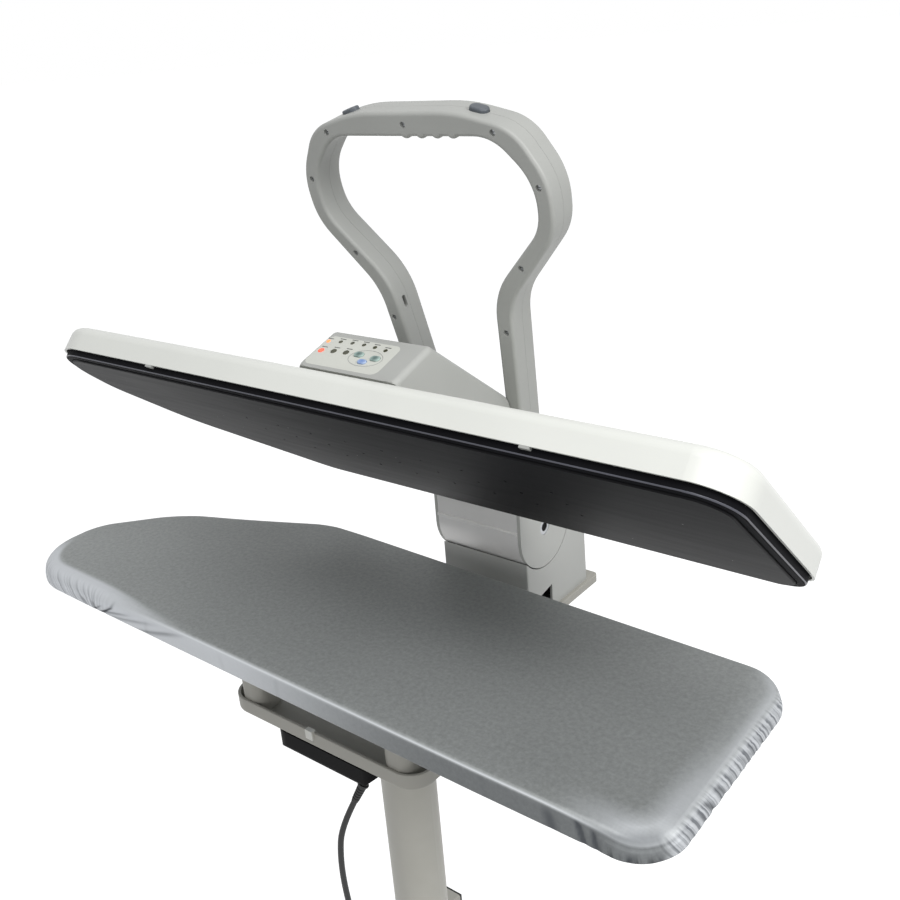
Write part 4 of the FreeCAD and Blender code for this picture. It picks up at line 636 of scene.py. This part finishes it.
# %% [markdown]
# ## The cover's outline
#
# The padded board has the outline of a flat iron: square at one end, with a rounded nose at the
# other. Its corner points and radii are those of the CAD board. The points become one face, each
# corner is rounded by a vertex bevel with its own radius, and long edges are cut into short ones,
# because pleats need a point every two millimetres.

# %% A rounded outline as one face
BOARD_TOP = 850.0
BOARD_LOW = 822.5
BOARD_X = COLUMN_X - 26
OUTLINE_STEP = 1.9
# Each corner of the board: its place, then its radius. The last one is the slight bow of the front.
board_corners = [
    (440, -171, 42), (440, 87, 38), (-163, 104, 110), (-363, 30, 150), (-440, -53, 60), (-440, -162, 72),
    (-10, -171, 26000),
]


def board_outline(step_mm):
    """The board's outline as points and outward normals, in millimetres, counter-clockwise."""
    shape = bmesh.new()
    points = [Vector((x, y, 0)) for x, y, _ in board_corners]
    verts = [shape.verts.new(p) for p in points]
    shape.faces.new(verts)
    for i, (_, _, radius) in enumerate(board_corners):
        before = points[i - 1] - points[i]
        after = points[(i + 1) % len(points)] - points[i]
        half = before.angle(after) / 2
        arc = radius * (math.pi - 2 * half)
        bmesh.ops.bevel(shape, geom=[verts[i]], offset=radius / math.tan(half), offset_type="OFFSET",
                        affect="VERTICES", segments=max(3, round(arc / step_mm)), profile=0.5,
                        material=-1, clamp_overlap=False)
    for edge in list(shape.edges):
        cuts = round(edge.calc_length() / step_mm) - 1
        if cuts > 0:
            bmesh.ops.subdivide_edges(shape, edges=[edge], cuts=cuts)
    shape.faces.ensure_lookup_table()
    rim = np.array([loop.vert.co[:2] for loop in shape.faces[0].loops])
    if shape.faces[0].normal.z < 0:
        rim = rim[::-1]
    shape.free()
    ahead = np.roll(rim, -1, axis=0) - np.roll(rim, 1, axis=0)
    outward = np.stack([ahead[:, 1], -ahead[:, 0]], axis=1)
    return rim, outward / np.linalg.norm(outward, axis=1, keepdims=True)


rim, outward = board_outline(OUTLINE_STEP)
gaps = np.linalg.norm(np.roll(rim, -1, axis=0) - rim, axis=1)
run = np.concatenate([[0], np.cumsum(gaps)[:-1]])
print("outline points", len(rim), "round the board", round(gaps.sum()), "mm")

# %% [markdown]
# ## Where the cloth is gathered
#
# The silver cover is drawn tight under the board by a cord in its hem. On straight runs the cloth
# lies smooth. Round a corner there is too much of it, so it gathers into small pleats. Each pleat
# is a narrow valley that starts below the edge and deepens towards the hem, and leans one way or
# the other. At the nose the spare cloth makes a few long drag folds instead.

# %% Pleats, as a table of valleys along the rim
def eased(value, low, high):
    """Zero below low, one above high and smooth between."""
    t = np.clip((value - low) / (high - low), 0, 1)
    return t * t * (3 - 2 * t)


# The ranges here and below are places on the board, in millimetres from its middle
x, y = rim[:, 0], rim[:, 1]
right_end = eased(x, 425, 440)
front_right = eased(x, 372, 405) * eased(-y, 120, 165)
nose_front = eased(-x, 240, 310) * eased(-y, 40, 110)
gathered = np.clip(np.maximum.reduce([right_end, front_right * 0.8, nose_front * 0.25]), 0.01, 1)
dice = random.Random(11)
pleats = []
where = 0.0
while where < run[-1]:
    pull, square, corner = (float(np.interp(where, run, v)) for v in (gathered, right_end, front_right))
    spacing = (120 - 105 * pull ** 0.3) * dice.uniform(0.55, 1.5)
    where += spacing
    lean_over = dice.gauss(0.60, 0.14) if square > 0.5 else dice.gauss(0.1, 0.25)
    width = min(spacing, 11) * dice.uniform(0.18, 0.32)
    depth = (0.15 + 0.95 * pull) * dice.uniform(0.35, 1.1)
    begin = dice.uniform(7.0, 13.0) if corner > 0.5 > square else dice.uniform(-3.0, 5.0)
    pleats.append((where, lean_over, width, depth, begin))
pleats = np.array(pleats)
print("pleats", len(pleats))

# %% Long drag folds at the nose, along the front and at the square end
def rim_at(px, py):
    """How far along the rim the point nearest to a place is."""
    return run[np.argmin((rim[:, 0] - px) ** 2 + (rim[:, 1] - py) ** 2)]


# Each fold: its place on the rim, its run along the rim for each millimetre down, width, depth, start
drag_folds = np.array([
    (rim_at(-318, -164), 0.7, 2.8, 1.3, 6.0),
    (rim_at(-292, -165), 0.2, 3.0, 1.5, 5.0),
    (rim_at(-262, -166), -1.0, 2.6, 1.4, 8.0),
    (rim_at(-242, -166), -1.2, 2.8, 2.2, 1.0),
    (rim_at(-94, -170), -4.2, 10.0, 1.2, 4.0),
    (rim_at(-140, -169), -4.6, 11.0, 0.9, 4.0),
    (rim_at(-188, -168), -3.6, 8.0, 1.2, 5.0),
    (rim_at(366, -171), 0.35, 2.8, 2.4, 2.0),
    (rim_at(381, -171), 0.20, 2.4, 1.9, 4.0),
    (rim_at(338, -171), 0.30, 6.0, 0.9, 5.0),
    (rim_at(440, -78), 0.70, 3.0, 1.6, 1.0),
    (rim_at(440, -100), 0.75, 2.6, 2.0, 1.0),
    (rim_at(440, -34), 0.65, 3.0, 1.2, 2.0),
])
valleys = np.concatenate([pleats, drag_folds])
PLEAT_OPENS = 11.0


def hollow(drop_mm):
    """How deep the cloth lies in its pleats along the rim, at a depth below the edge."""
    offset = run[:, None] - valleys[None, :, 0] - valleys[None, :, 1] * drop_mm
    offset = (offset + run[-1] / 2) % run[-1] - run[-1] / 2
    grow = eased(drop_mm - valleys[:, 4], 0.0, PLEAT_OPENS)
    return (np.exp(-(offset / valleys[:, 2]) ** 2) * valleys[:, 3] * grow).sum(axis=1)


print("deepest pleat", round(float(hollow(20.0).max()), 2), "mm")

# %% [markdown]
# ## The cover itself
#
# Now the cloth is drawn ring by ring, as it is pulled over the board: across the crown of the pad,
# round the edge, down the side, under and into the hem. Each ring is an extrusion of the last
# one's edges, moved to its place. The edge is crisp along the front, where the cloth is tight, and
# rounder at the ends, where the pad is soft.

# %% How soft the edge is along the rim
CROWN = 34.0
nose_soft = eased(-x, 85, 300)
end_soft = np.maximum(eased(x, 395, 438), eased(x, 330, 415) * eased(-y, 120, 168))
corner_soft = eased(x, 385, 425) * eased(-y, 125, 160)
# In millimetres: the edge's radius, the fall of the crown and the swelling of the side
edge_r = 4.5 + 8.5 * nose_soft + 1.8 * end_soft - 0.8 * corner_soft
crown_fall = 0.2 + 0.8 * nose_soft + 2.6 * end_soft + 4.0 * corner_soft
bulge = 0.4 + 2.3 * gathered


def crown_drop(out):
    """How far the soft pad falls away towards the edge."""
    return crown_fall * (1 + out / CROWN) ** 2


print("edge radius from", round(edge_r.min(), 1), "to", round(edge_r.max(), 1), "mm")

# %% Where light and shade are painted on the silver
# Painted light: the sides are drawn paler than the top, as the light falls on them, the left-facing tip of
# the nose less so, and the crown at the ends and along the nose gets a painted highlight.
faces_right = eased(outward[:, 0], 0.78, 0.98)
# Painted shade: the front right corner, turned away from the lamps, is drawn darker.
shaded_front_right = eased(x, -80, 260) * eased(-y, 90, 165) * (1 - faces_right)
fine = np.clip(right_end + 0.55 * nose_front, 0, 1)
ticks = front_right * (1 - right_end)
nose_tip = nose_soft * eased(outward[:, 1], -0.75, 0.1)
side_pale = (0.82 + 0.18 * nose_soft - 0.5 * nose_tip) * (1 - shaded_front_right)
nose_pale = 0.85 * (nose_soft - nose_tip)
pale_width = 5 + 15 * nose_soft
end_pale = end_soft * (0.25 + 0.75 * eased(-y, 10, 130))
print("share of the rim that is leaned on", round(float(shaded_front_right.mean()), 2))

# %% Rings over the crown and round the edge
CROWN_RINGS = (CROWN, 28, 24, 21, 18.5, 16.2, 14)
ARC_STEPS = 9
HIGHLIGHT_AT, HIGHLIGHT_SPREAD = 0.95, 0.22
none = np.zeros(len(rim))
# Each ring: how far out, how far down, then painted light, fine gathers and painted edge highlight from
# zero to one
rings = []
for inward in CROWN_RINGS:
    out = np.full(len(rim), -float(inward))
    near_edge = eased(-inward, -pale_width - 3, 4 - pale_width)
    crown_pale = np.maximum(end_pale * (1 - inward / CROWN), nose_pale * near_edge)
    rings.append((out, -crown_drop(out), crown_pale, none, none))
for step in range(ARC_STEPS):
    angle = math.pi / 2 * step / (ARC_STEPS - 1)
    out = edge_r * (math.sin(angle) - 1)
    # A painted highlight on the edge at the square end and the nose.
    edge_pale = np.maximum(0.5 * end_soft * math.cos(angle) ** 2, nose_pale)
    pale = np.maximum(math.sin(angle) ** 2 * side_pale, edge_pale)
    # A painted highlight along the tight edge, faint at the nose and the square end.
    edge_highlight = (1 - nose_soft) * (1 - 0.8 * end_soft) * math.exp(-((angle - HIGHLIGHT_AT) / HIGHLIGHT_SPREAD) ** 2)
    drop = -crown_drop(out) - edge_r * (1 - math.cos(angle))
    rings.append((out, drop, pale, fine * math.sin(angle) ** 2, edge_highlight))
print("crown and edge rings", len(rings))

# %% Rings down the side, under and into the hem
DEEPEST = -0.9
TUCK_R, TUCK_STEPS = 5.0, 5
SIDE_STEPS = 10
HEM_RINGS = (9, 15, 21, 26, 29)
HEM_END, HEM_RISE = 30.0, 1.4
side_top = rings[-1][1]
hem_drop = BOARD_LOW - BOARD_TOP
side_low = hem_drop + TUCK_R
for step in range(1, SIDE_STEPS + 1):
    share = step / SIDE_STEPS
    drop = side_top + (side_low - side_top) * share
    pinch = hollow(float(-drop.mean())) * (1 - 0.45 * share)
    swell = bulge * math.sin(math.pi * min(math.sqrt(share) * 0.6, 0.5 + share / 4))
    rings.append((np.maximum(swell - pinch, DEEPEST), drop, side_pale, fine + ticks * share ** 2, none))
for step in range(1, TUCK_STEPS + 1):
    angle = math.pi / 2 * step / TUCK_STEPS
    pinch = hollow(22.0 + step) * (0.35 - 0.06 * step)
    swell = bulge * 0.7 * (1 - step / TUCK_STEPS)
    out = TUCK_R * (math.cos(angle) - 1) + np.maximum(swell - pinch, DEEPEST)
    drop = np.full(len(rim), side_low - TUCK_R * math.sin(angle))
    rings.append((out, drop, side_pale, fine + ticks, none))
ripple = np.minimum(hollow(30.0), 2.0) * 0.25
for inward in HEM_RINGS:
    rings.append((np.full(len(rim), -float(inward)), hem_drop + ripple, side_pale, fine + ticks, none))
hem_edge = np.full(len(rim), -HEM_END), np.full(len(rim), hem_drop + HEM_RISE)
rings.append((*hem_edge, side_pale, none, none))
print("cover rings", len(rings))

# %% Extrude the rings
cloth_mesh = bmesh.new()
layer_names = ("painted_light_silver", "gathers", "painted_edge_highlight", "crease_shade", "along_rim")
layers = [cloth_mesh.verts.layers.float.new(name) for name in layer_names]
slant = 0.15 + 0.45 * right_end + nose_front * (0.8 - 1.8 * eased(x, -300, -262))


def ring_coordinates(out, drop):
    """The points of a ring in metres, from how far out and how far down it lies."""
    flat = rim + outward * np.asarray(out)[:, None] + (BOARD_X, 0)
    height = BOARD_TOP + np.broadcast_to(drop, len(rim))
    return np.column_stack([flat, height]) * MM


def next_ring(shape, ring):
    """Extrudes a closed ring of edges and gives the new ring in the same order."""
    edges = [shape.edges.get((ring[i - 1], ring[i])) for i in range(len(ring))]
    fresh = set(verts_in(bmesh.ops.extrude_edge_only(shape, edges=edges)["geom"]))
    return [next(e.other_vert(v) for e in v.link_edges if e.other_vert(v) in fresh) for v in ring]


ring = [cloth_mesh.verts.new(p) for p in ring_coordinates(*rings[0][:2])]
cloth_mesh.faces.new(ring)
for out, drop, pale, fine_here, edge_highlight in rings[1:]:
    ring = next_ring(cloth_mesh, ring)
    # Painted shade in the valleys of the pleats and on the front right corner; it also dulls the gloss
    # there.
    crease_shade = np.clip(hollow(float(-drop.mean())) / 2.4 + 0.55 * shaded_front_right * eased(-drop, 1.8, 5.5), 0, 1)
    along_rim = (run + slant * drop) * MM
    places = ring_coordinates(out, drop)
    for vert, place, *values in zip(ring, places, pale, fine_here, edge_highlight, crease_shade, along_rim):
        vert.co = place
        for layer, value in zip(layers, values):
            vert[layer] = value
bmesh.ops.recalc_face_normals(cloth_mesh, faces=cloth_mesh.faces)
cloth_mesh.faces.ensure_lookup_table()
if cloth_mesh.faces[0].normal.z < 0:
    bmesh.ops.reverse_faces(cloth_mesh, faces=cloth_mesh.faces)
cloth_area = sum(f.calc_area() for f in cloth_mesh.faces)
print("cloth area", round(cloth_area, 4), "square metres")

# %% [markdown]
# ## Silver-coated cotton
#
# The cover is cotton with an aluminium coat that throws the heat back. It is half metal to the
# eye: it takes the colour of what it faces, so the far side is dark under the sole and the near
# side is pale. Light and shade are also painted into its colour: the sides are painted paler than
# the top, as the light falls on them, the front right corner is painted darker, where it is in
# shade, a painted highlight runs along the tight edge and over the soft crown at the ends, and
# painted shade darkens the pleats. Attributes of the mesh say where. The finest gathers are too
# small for the mesh, so a noise along the rim draws them as a bump and as painted shade. Up close
# the cloth is mottled and has a plain weave. Threads are 0.5 mm apart and are drawn at 1.6 mm to
# show.

# %% The cover's finish
MOTTLE_MM, PATCH_MM, TUCK_MM, THREAD_MM = 4.5, 150, 5.0, 1.6
silver_cotton, tree = blank_material("silver_coated_cotton")
place = node(tree, "TexCoord").outputs["Object"]
mottle = node(tree, "TexNoise", {"Scale": per(MOTTLE_MM), "Detail": 4.0, "Roughness": 0.7},
              {"Vector": place})
patch = node(tree, "TexNoise", {"Scale": per(PATCH_MM), "Detail": 3.0}, {"Vector": place})
base_mottle = node(tree, "ValToRGB", links={"Fac": mottle.outputs["Fac"]})
base_mottle.color_ramp.elements[0].position = 0.25
base_mottle.color_ramp.elements[0].color = colour("#868988")
base_mottle.color_ramp.elements[1].position = 0.78
base_mottle.color_ramp.elements[1].color = colour("#9EA1A0")
fresh, gathers, edge_highlight, crease_shade, rim_place = (
    node(tree, "Attribute", {"attribute_name": name}).outputs["Fac"] for name in layer_names)
# Painted light: the lit sides and crowns are mixed toward pale silver.
bright = node(tree, "Mix", {"data_type": "RGBA", 7: colour("#D0D3D7")},
              {0: fresh, 6: base_mottle.outputs["Color"]})
# Painted shade in the pleats.
crease_shaded = node(tree, "Mix", {"data_type": "RGBA", 7: colour("#5A5D61")}, {0: crease_shade, 6: bright.outputs[2]})
# The fine gathers are a bump and painted shade: dark lines multiplied into the colour.
tucks = node(tree, "TexNoise", {"noise_dimensions": "1D", "Scale": per(TUCK_MM), "Detail": 2.0},
             {"W": rim_place})
tuck_shade = node(tree, "ValToRGB", links={"Fac": tucks.outputs["Fac"]})
tuck_shade.color_ramp.elements[0].position = 0.36
tuck_shade.color_ramp.elements[0].color = colour("#9A9C9F")
tuck_shade.color_ramp.elements[1].position = 0.56
tuck_shade.color_ramp.elements[1].color = colour("#FFFFFF")
tuck_shaded = node(tree, "Mix", {"data_type": "RGBA", "blend_type": "MULTIPLY"},
              {0: gathers, 6: crease_shaded.outputs[2], 7: tuck_shade.outputs["Color"]})
# Painted highlight along the tight edge.
highlighted_edge = node(tree, "Mix", {"data_type": "RGBA", 7: colour("#D2D5D8")}, {0: edge_highlight, 6: tuck_shaded.outputs[2]})
gloss = node(tree, "MapRange", {"From Min": 0.3, "From Max": 0.7, "To Min": 0.44, "To Max": 0.54},
             {"Value": patch.outputs["Fac"]})
dull = node(tree, "Math", {"operation": "MULTIPLY_ADD", 1: 0.35}, {0: crease_shade, 2: gloss.outputs["Result"]})
# A wave at scale one repeats in a tenth of pi, and a plain weave repeats in two threads
weave_scale = per(THREAD_MM) / 20 * math.pi
warp, weft = (
    node(tree, "TexWave", {"bands_direction": way, "Scale": weave_scale, "Distortion": 0.6},
         {"Vector": place})
    for way in "XY"
)
weave = node(tree, "Math", {"operation": "ADD"}, {0: warp.outputs["Fac"], 1: weft.outputs["Fac"]})
relief_height = node(tree, "Math", {"operation": "ADD"}, {0: weave.outputs[0], 1: mottle.outputs["Fac"]})
bump = node(tree, "Bump", {"Strength": 0.25, "Distance": 0.08 * MM}, {"Height": relief_height.outputs[0]})
tuck_height = node(tree, "Math", {"operation": "MULTIPLY"}, {0: tucks.outputs["Fac"], 1: gathers})
tuck_bump = node(tree, "Bump", {"Strength": 0.6, "Distance": 2.0 * MM},
                 {"Height": tuck_height.outputs[0], "Normal": bump.outputs["Normal"]})
cloth_skin = node(tree, "BsdfPrincipled", {"Metallic": 0.36, "Specular IOR Level": 0.25}, {
    "Base Color": highlighted_edge.outputs[2],
    "Roughness": dull.outputs[0],
    "Normal": tuck_bump.outputs["Normal"],
})
node(tree, "OutputMaterial", links={"Surface": cloth_skin.outputs[0]})
print("silver cotton ready,", len(tree.nodes), "nodes")

# %% Put the cover on the board
CLOTH_THICK = 0.7
cover = piece("silver_cover", cloth_mesh, "stand", silver_cotton)
thickness = cover.modifiers.new("cloth_thickness", "SOLIDIFY")
thickness.thickness = CLOTH_THICK * MM
thickness.offset = -1
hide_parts("board_cover")

# %% [markdown]
# ## The felt pad
#
# Under the cloth lies a felt pad on the steel deck. It isn't seen, but it is what gives the cover
# its rounded edge, so it is a piece of its own: rings at a small gap inside the cover's own edge,
# which stop at the deck and are closed there.

# %% Pad under the cover
PAD_GAP, PAD_LOW = 1.6, 840.6
pad_drop = BOARD_TOP - PAD_LOW
pad_r = edge_r - PAD_GAP
last_angle = np.arccos(np.clip((edge_r + crown_fall * 0.7 - pad_drop) / pad_r, 0, 1))
pad_rings = [(np.full(len(rim), -CROWN), np.full(len(rim), -PAD_GAP))]
PAD_STEPS = 6
for step in range(PAD_STEPS):
    angle = last_angle * step / (PAD_STEPS - 1)
    out = pad_r * np.sin(angle) - edge_r
    pad_rings.append((out, -crown_drop(out) - edge_r + pad_r * np.cos(angle)))
pad_rings.append((pad_rings[-1][0], np.full(len(rim), -pad_drop)))
pad_mesh = bmesh.new()
ring = [pad_mesh.verts.new(p) for p in ring_coordinates(*pad_rings[0])]
pad_mesh.faces.new(ring)
for out, drop in pad_rings[1:]:
    ring = next_ring(pad_mesh, ring)
    for vert, place in zip(ring, ring_coordinates(out, np.maximum(drop, -pad_drop))):
        vert.co = place
pad_mesh.faces.new(ring)
bmesh.ops.recalc_face_normals(pad_mesh, faces=pad_mesh.faces)
pad = piece("felt_pad", pad_mesh, "stand", wool_felt)
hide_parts("board_pad")

# %% [markdown]
# ## Marks on the panel
#
# The control panel is a printed film. A raised oval line goes round the three keys, and a short
# plain dash stands by each lamp. They are thin pieces on the slope of the panel, so one matrix
# takes them from a flat drawing to the open head.

# %% The panel's place
HINGE = Vector((COLUMN_X + 12, 197.3, 869.5))
OPEN_ANGLE = math.radians(-41.7)
PANEL_FOOT = Vector((COLUMN_X + 12, -149, 900))
PANEL_SLOPE = math.atan2(48, 27)
swing = Matrix.Translation(HINGE) @ Matrix.Rotation(OPEN_ANGLE, 4, "X") @ Matrix.Translation(-HINGE)
upright_panel = Matrix.Translation(PANEL_FOOT) @ Matrix.Rotation(PANEL_SLOPE, 4, "X")
panel_place = Matrix.Scale(MM, 4) @ swing @ upright_panel
# Screen-printed ink: thin and matt, pale for the line and dark for the dashes.
line_ink = grained("screen_ink_grey", "#A2A39F", "#9A9B97", 1.0, 0.01, (0.4, 0.5), 20)
dash_ink = grained("screen_ink_dark", "#474847", "#3F403F", 1.0, 0.01, (0.4, 0.5), 20)
print("panel slopes", round(math.degrees(PANEL_SLOPE)), "degrees on the closed head")

# %% Oval line round the keys
OVAL_LONG, OVAL_SHORT, OVAL_X, OVAL_UP = 20.8, 12.6, 7.0, 26.4
LINE_WIDTH, LINE_THICK, LINE_GAP = 0.7, 0.14, 0.01
oval = bmesh.new()
bmesh.ops.create_circle(oval, cap_ends=True, segments=72, radius=1)
bmesh.ops.scale(oval, vec=(OVAL_LONG, OVAL_SHORT, 1), verts=oval.verts)
bmesh.ops.inset_region(oval, faces=oval.faces[:], thickness=LINE_WIDTH, use_boundary=True,
                       use_even_offset=True)
oval.faces.ensure_lookup_table()
middle = max(oval.faces, key=lambda f: len(f.verts))
bmesh.ops.delete(oval, geom=[middle], context="FACES_ONLY")
grown = bmesh.ops.extrude_face_region(oval, geom=oval.faces[:], use_keep_orig=True)["geom"]
bmesh.ops.translate(oval, vec=(0, 0, LINE_THICK), verts=verts_in(grown))
bmesh.ops.recalc_face_normals(oval, faces=oval.faces)
bmesh.ops.translate(oval, vec=(OVAL_X, OVAL_UP, LINE_GAP), verts=oval.verts)
bmesh.ops.transform(oval, matrix=panel_place, verts=oval.verts)
piece("panel_oval", oval, "head", line_ink, smooth=False)

# %% Dashes by the lamps
LAMP_FIRST, LAMP_PITCH, LAMP_COUNT, LAMP_ROW, LAMP_ARCH = -56.0, 15.3, 6, 45.5, 3.2
DASH_OVER_LAMP, DASH_MIDDLE = 4.6, 0.06
DASH_SIZE = (7.6, 1.0, 0.1)
dash_places = []
for i in range(LAMP_COUNT):
    arch = (2 * i / (LAMP_COUNT - 1) - 1) ** 2
    dash_places.append((LAMP_FIRST + i * LAMP_PITCH, LAMP_ROW - LAMP_ARCH * arch + DASH_OVER_LAMP))
dash_places += [(-53, 33.2), (-37.5, 35.0), (-21.5, 36.0)]
dashes = bmesh.new()
for dx, up in dash_places:
    made = bmesh.ops.create_cube(dashes, size=1)["verts"]
    bmesh.ops.scale(dashes, vec=DASH_SIZE, verts=made)
    bmesh.ops.translate(dashes, vec=(dx, up, DASH_MIDDLE), verts=made)
bmesh.ops.transform(dashes, matrix=panel_place, verts=dashes.verts)
piece("panel_dashes", dashes, "head", dash_ink, smooth=False)

# %% [markdown]
# ## The bright lip of the skirt
#
# The skirt round the sole ends in a rounded lip. A painted highlight makes it show as a fine pale
# line between two dark pieces: a paler, glossier colour on a thin shell over it. The lip is already
# in the CAD skirt. A copy of that mesh is merged, only the faces half way round the lip are kept,
# and they are raised by a hair.

# %% Lip with a painted highlight
LIP_FROM, LIP_TO = 0.30, 0.80
LIP_RAISE, LIP_THICK = 0.12, 0.10
face_down = swing.to_3x3() @ Vector((0, 0, -1))
lip_mesh = bmesh.new()
lip_mesh.from_mesh(nodes["sole_skirt"].data)
bmesh.ops.remove_doubles(lip_mesh, verts=lip_mesh.verts, dist=1e-6)
lip_mesh.normal_update()
other_faces = [f for f in lip_mesh.faces if not LIP_FROM < f.normal.dot(face_down) < LIP_TO]
bmesh.ops.delete(lip_mesh, geom=other_faces, context="FACES")
lip_mesh.normal_update()
for vert in lip_mesh.verts:
    vert.co += vert.normal * LIP_RAISE * MM
bmesh.ops.solidify(lip_mesh, geom=lip_mesh.faces[:], thickness=LIP_THICK * MM)
# A paler colour painted as the highlight along the lip.
phenolic_painted_highlight = grained("phenolic_painted_highlight", "#4C4D56", "#44454D", 0.9, 0.02, (0.30, 0.40), 90)
piece("skirt_lip", lip_mesh, "head", phenolic_painted_highlight)
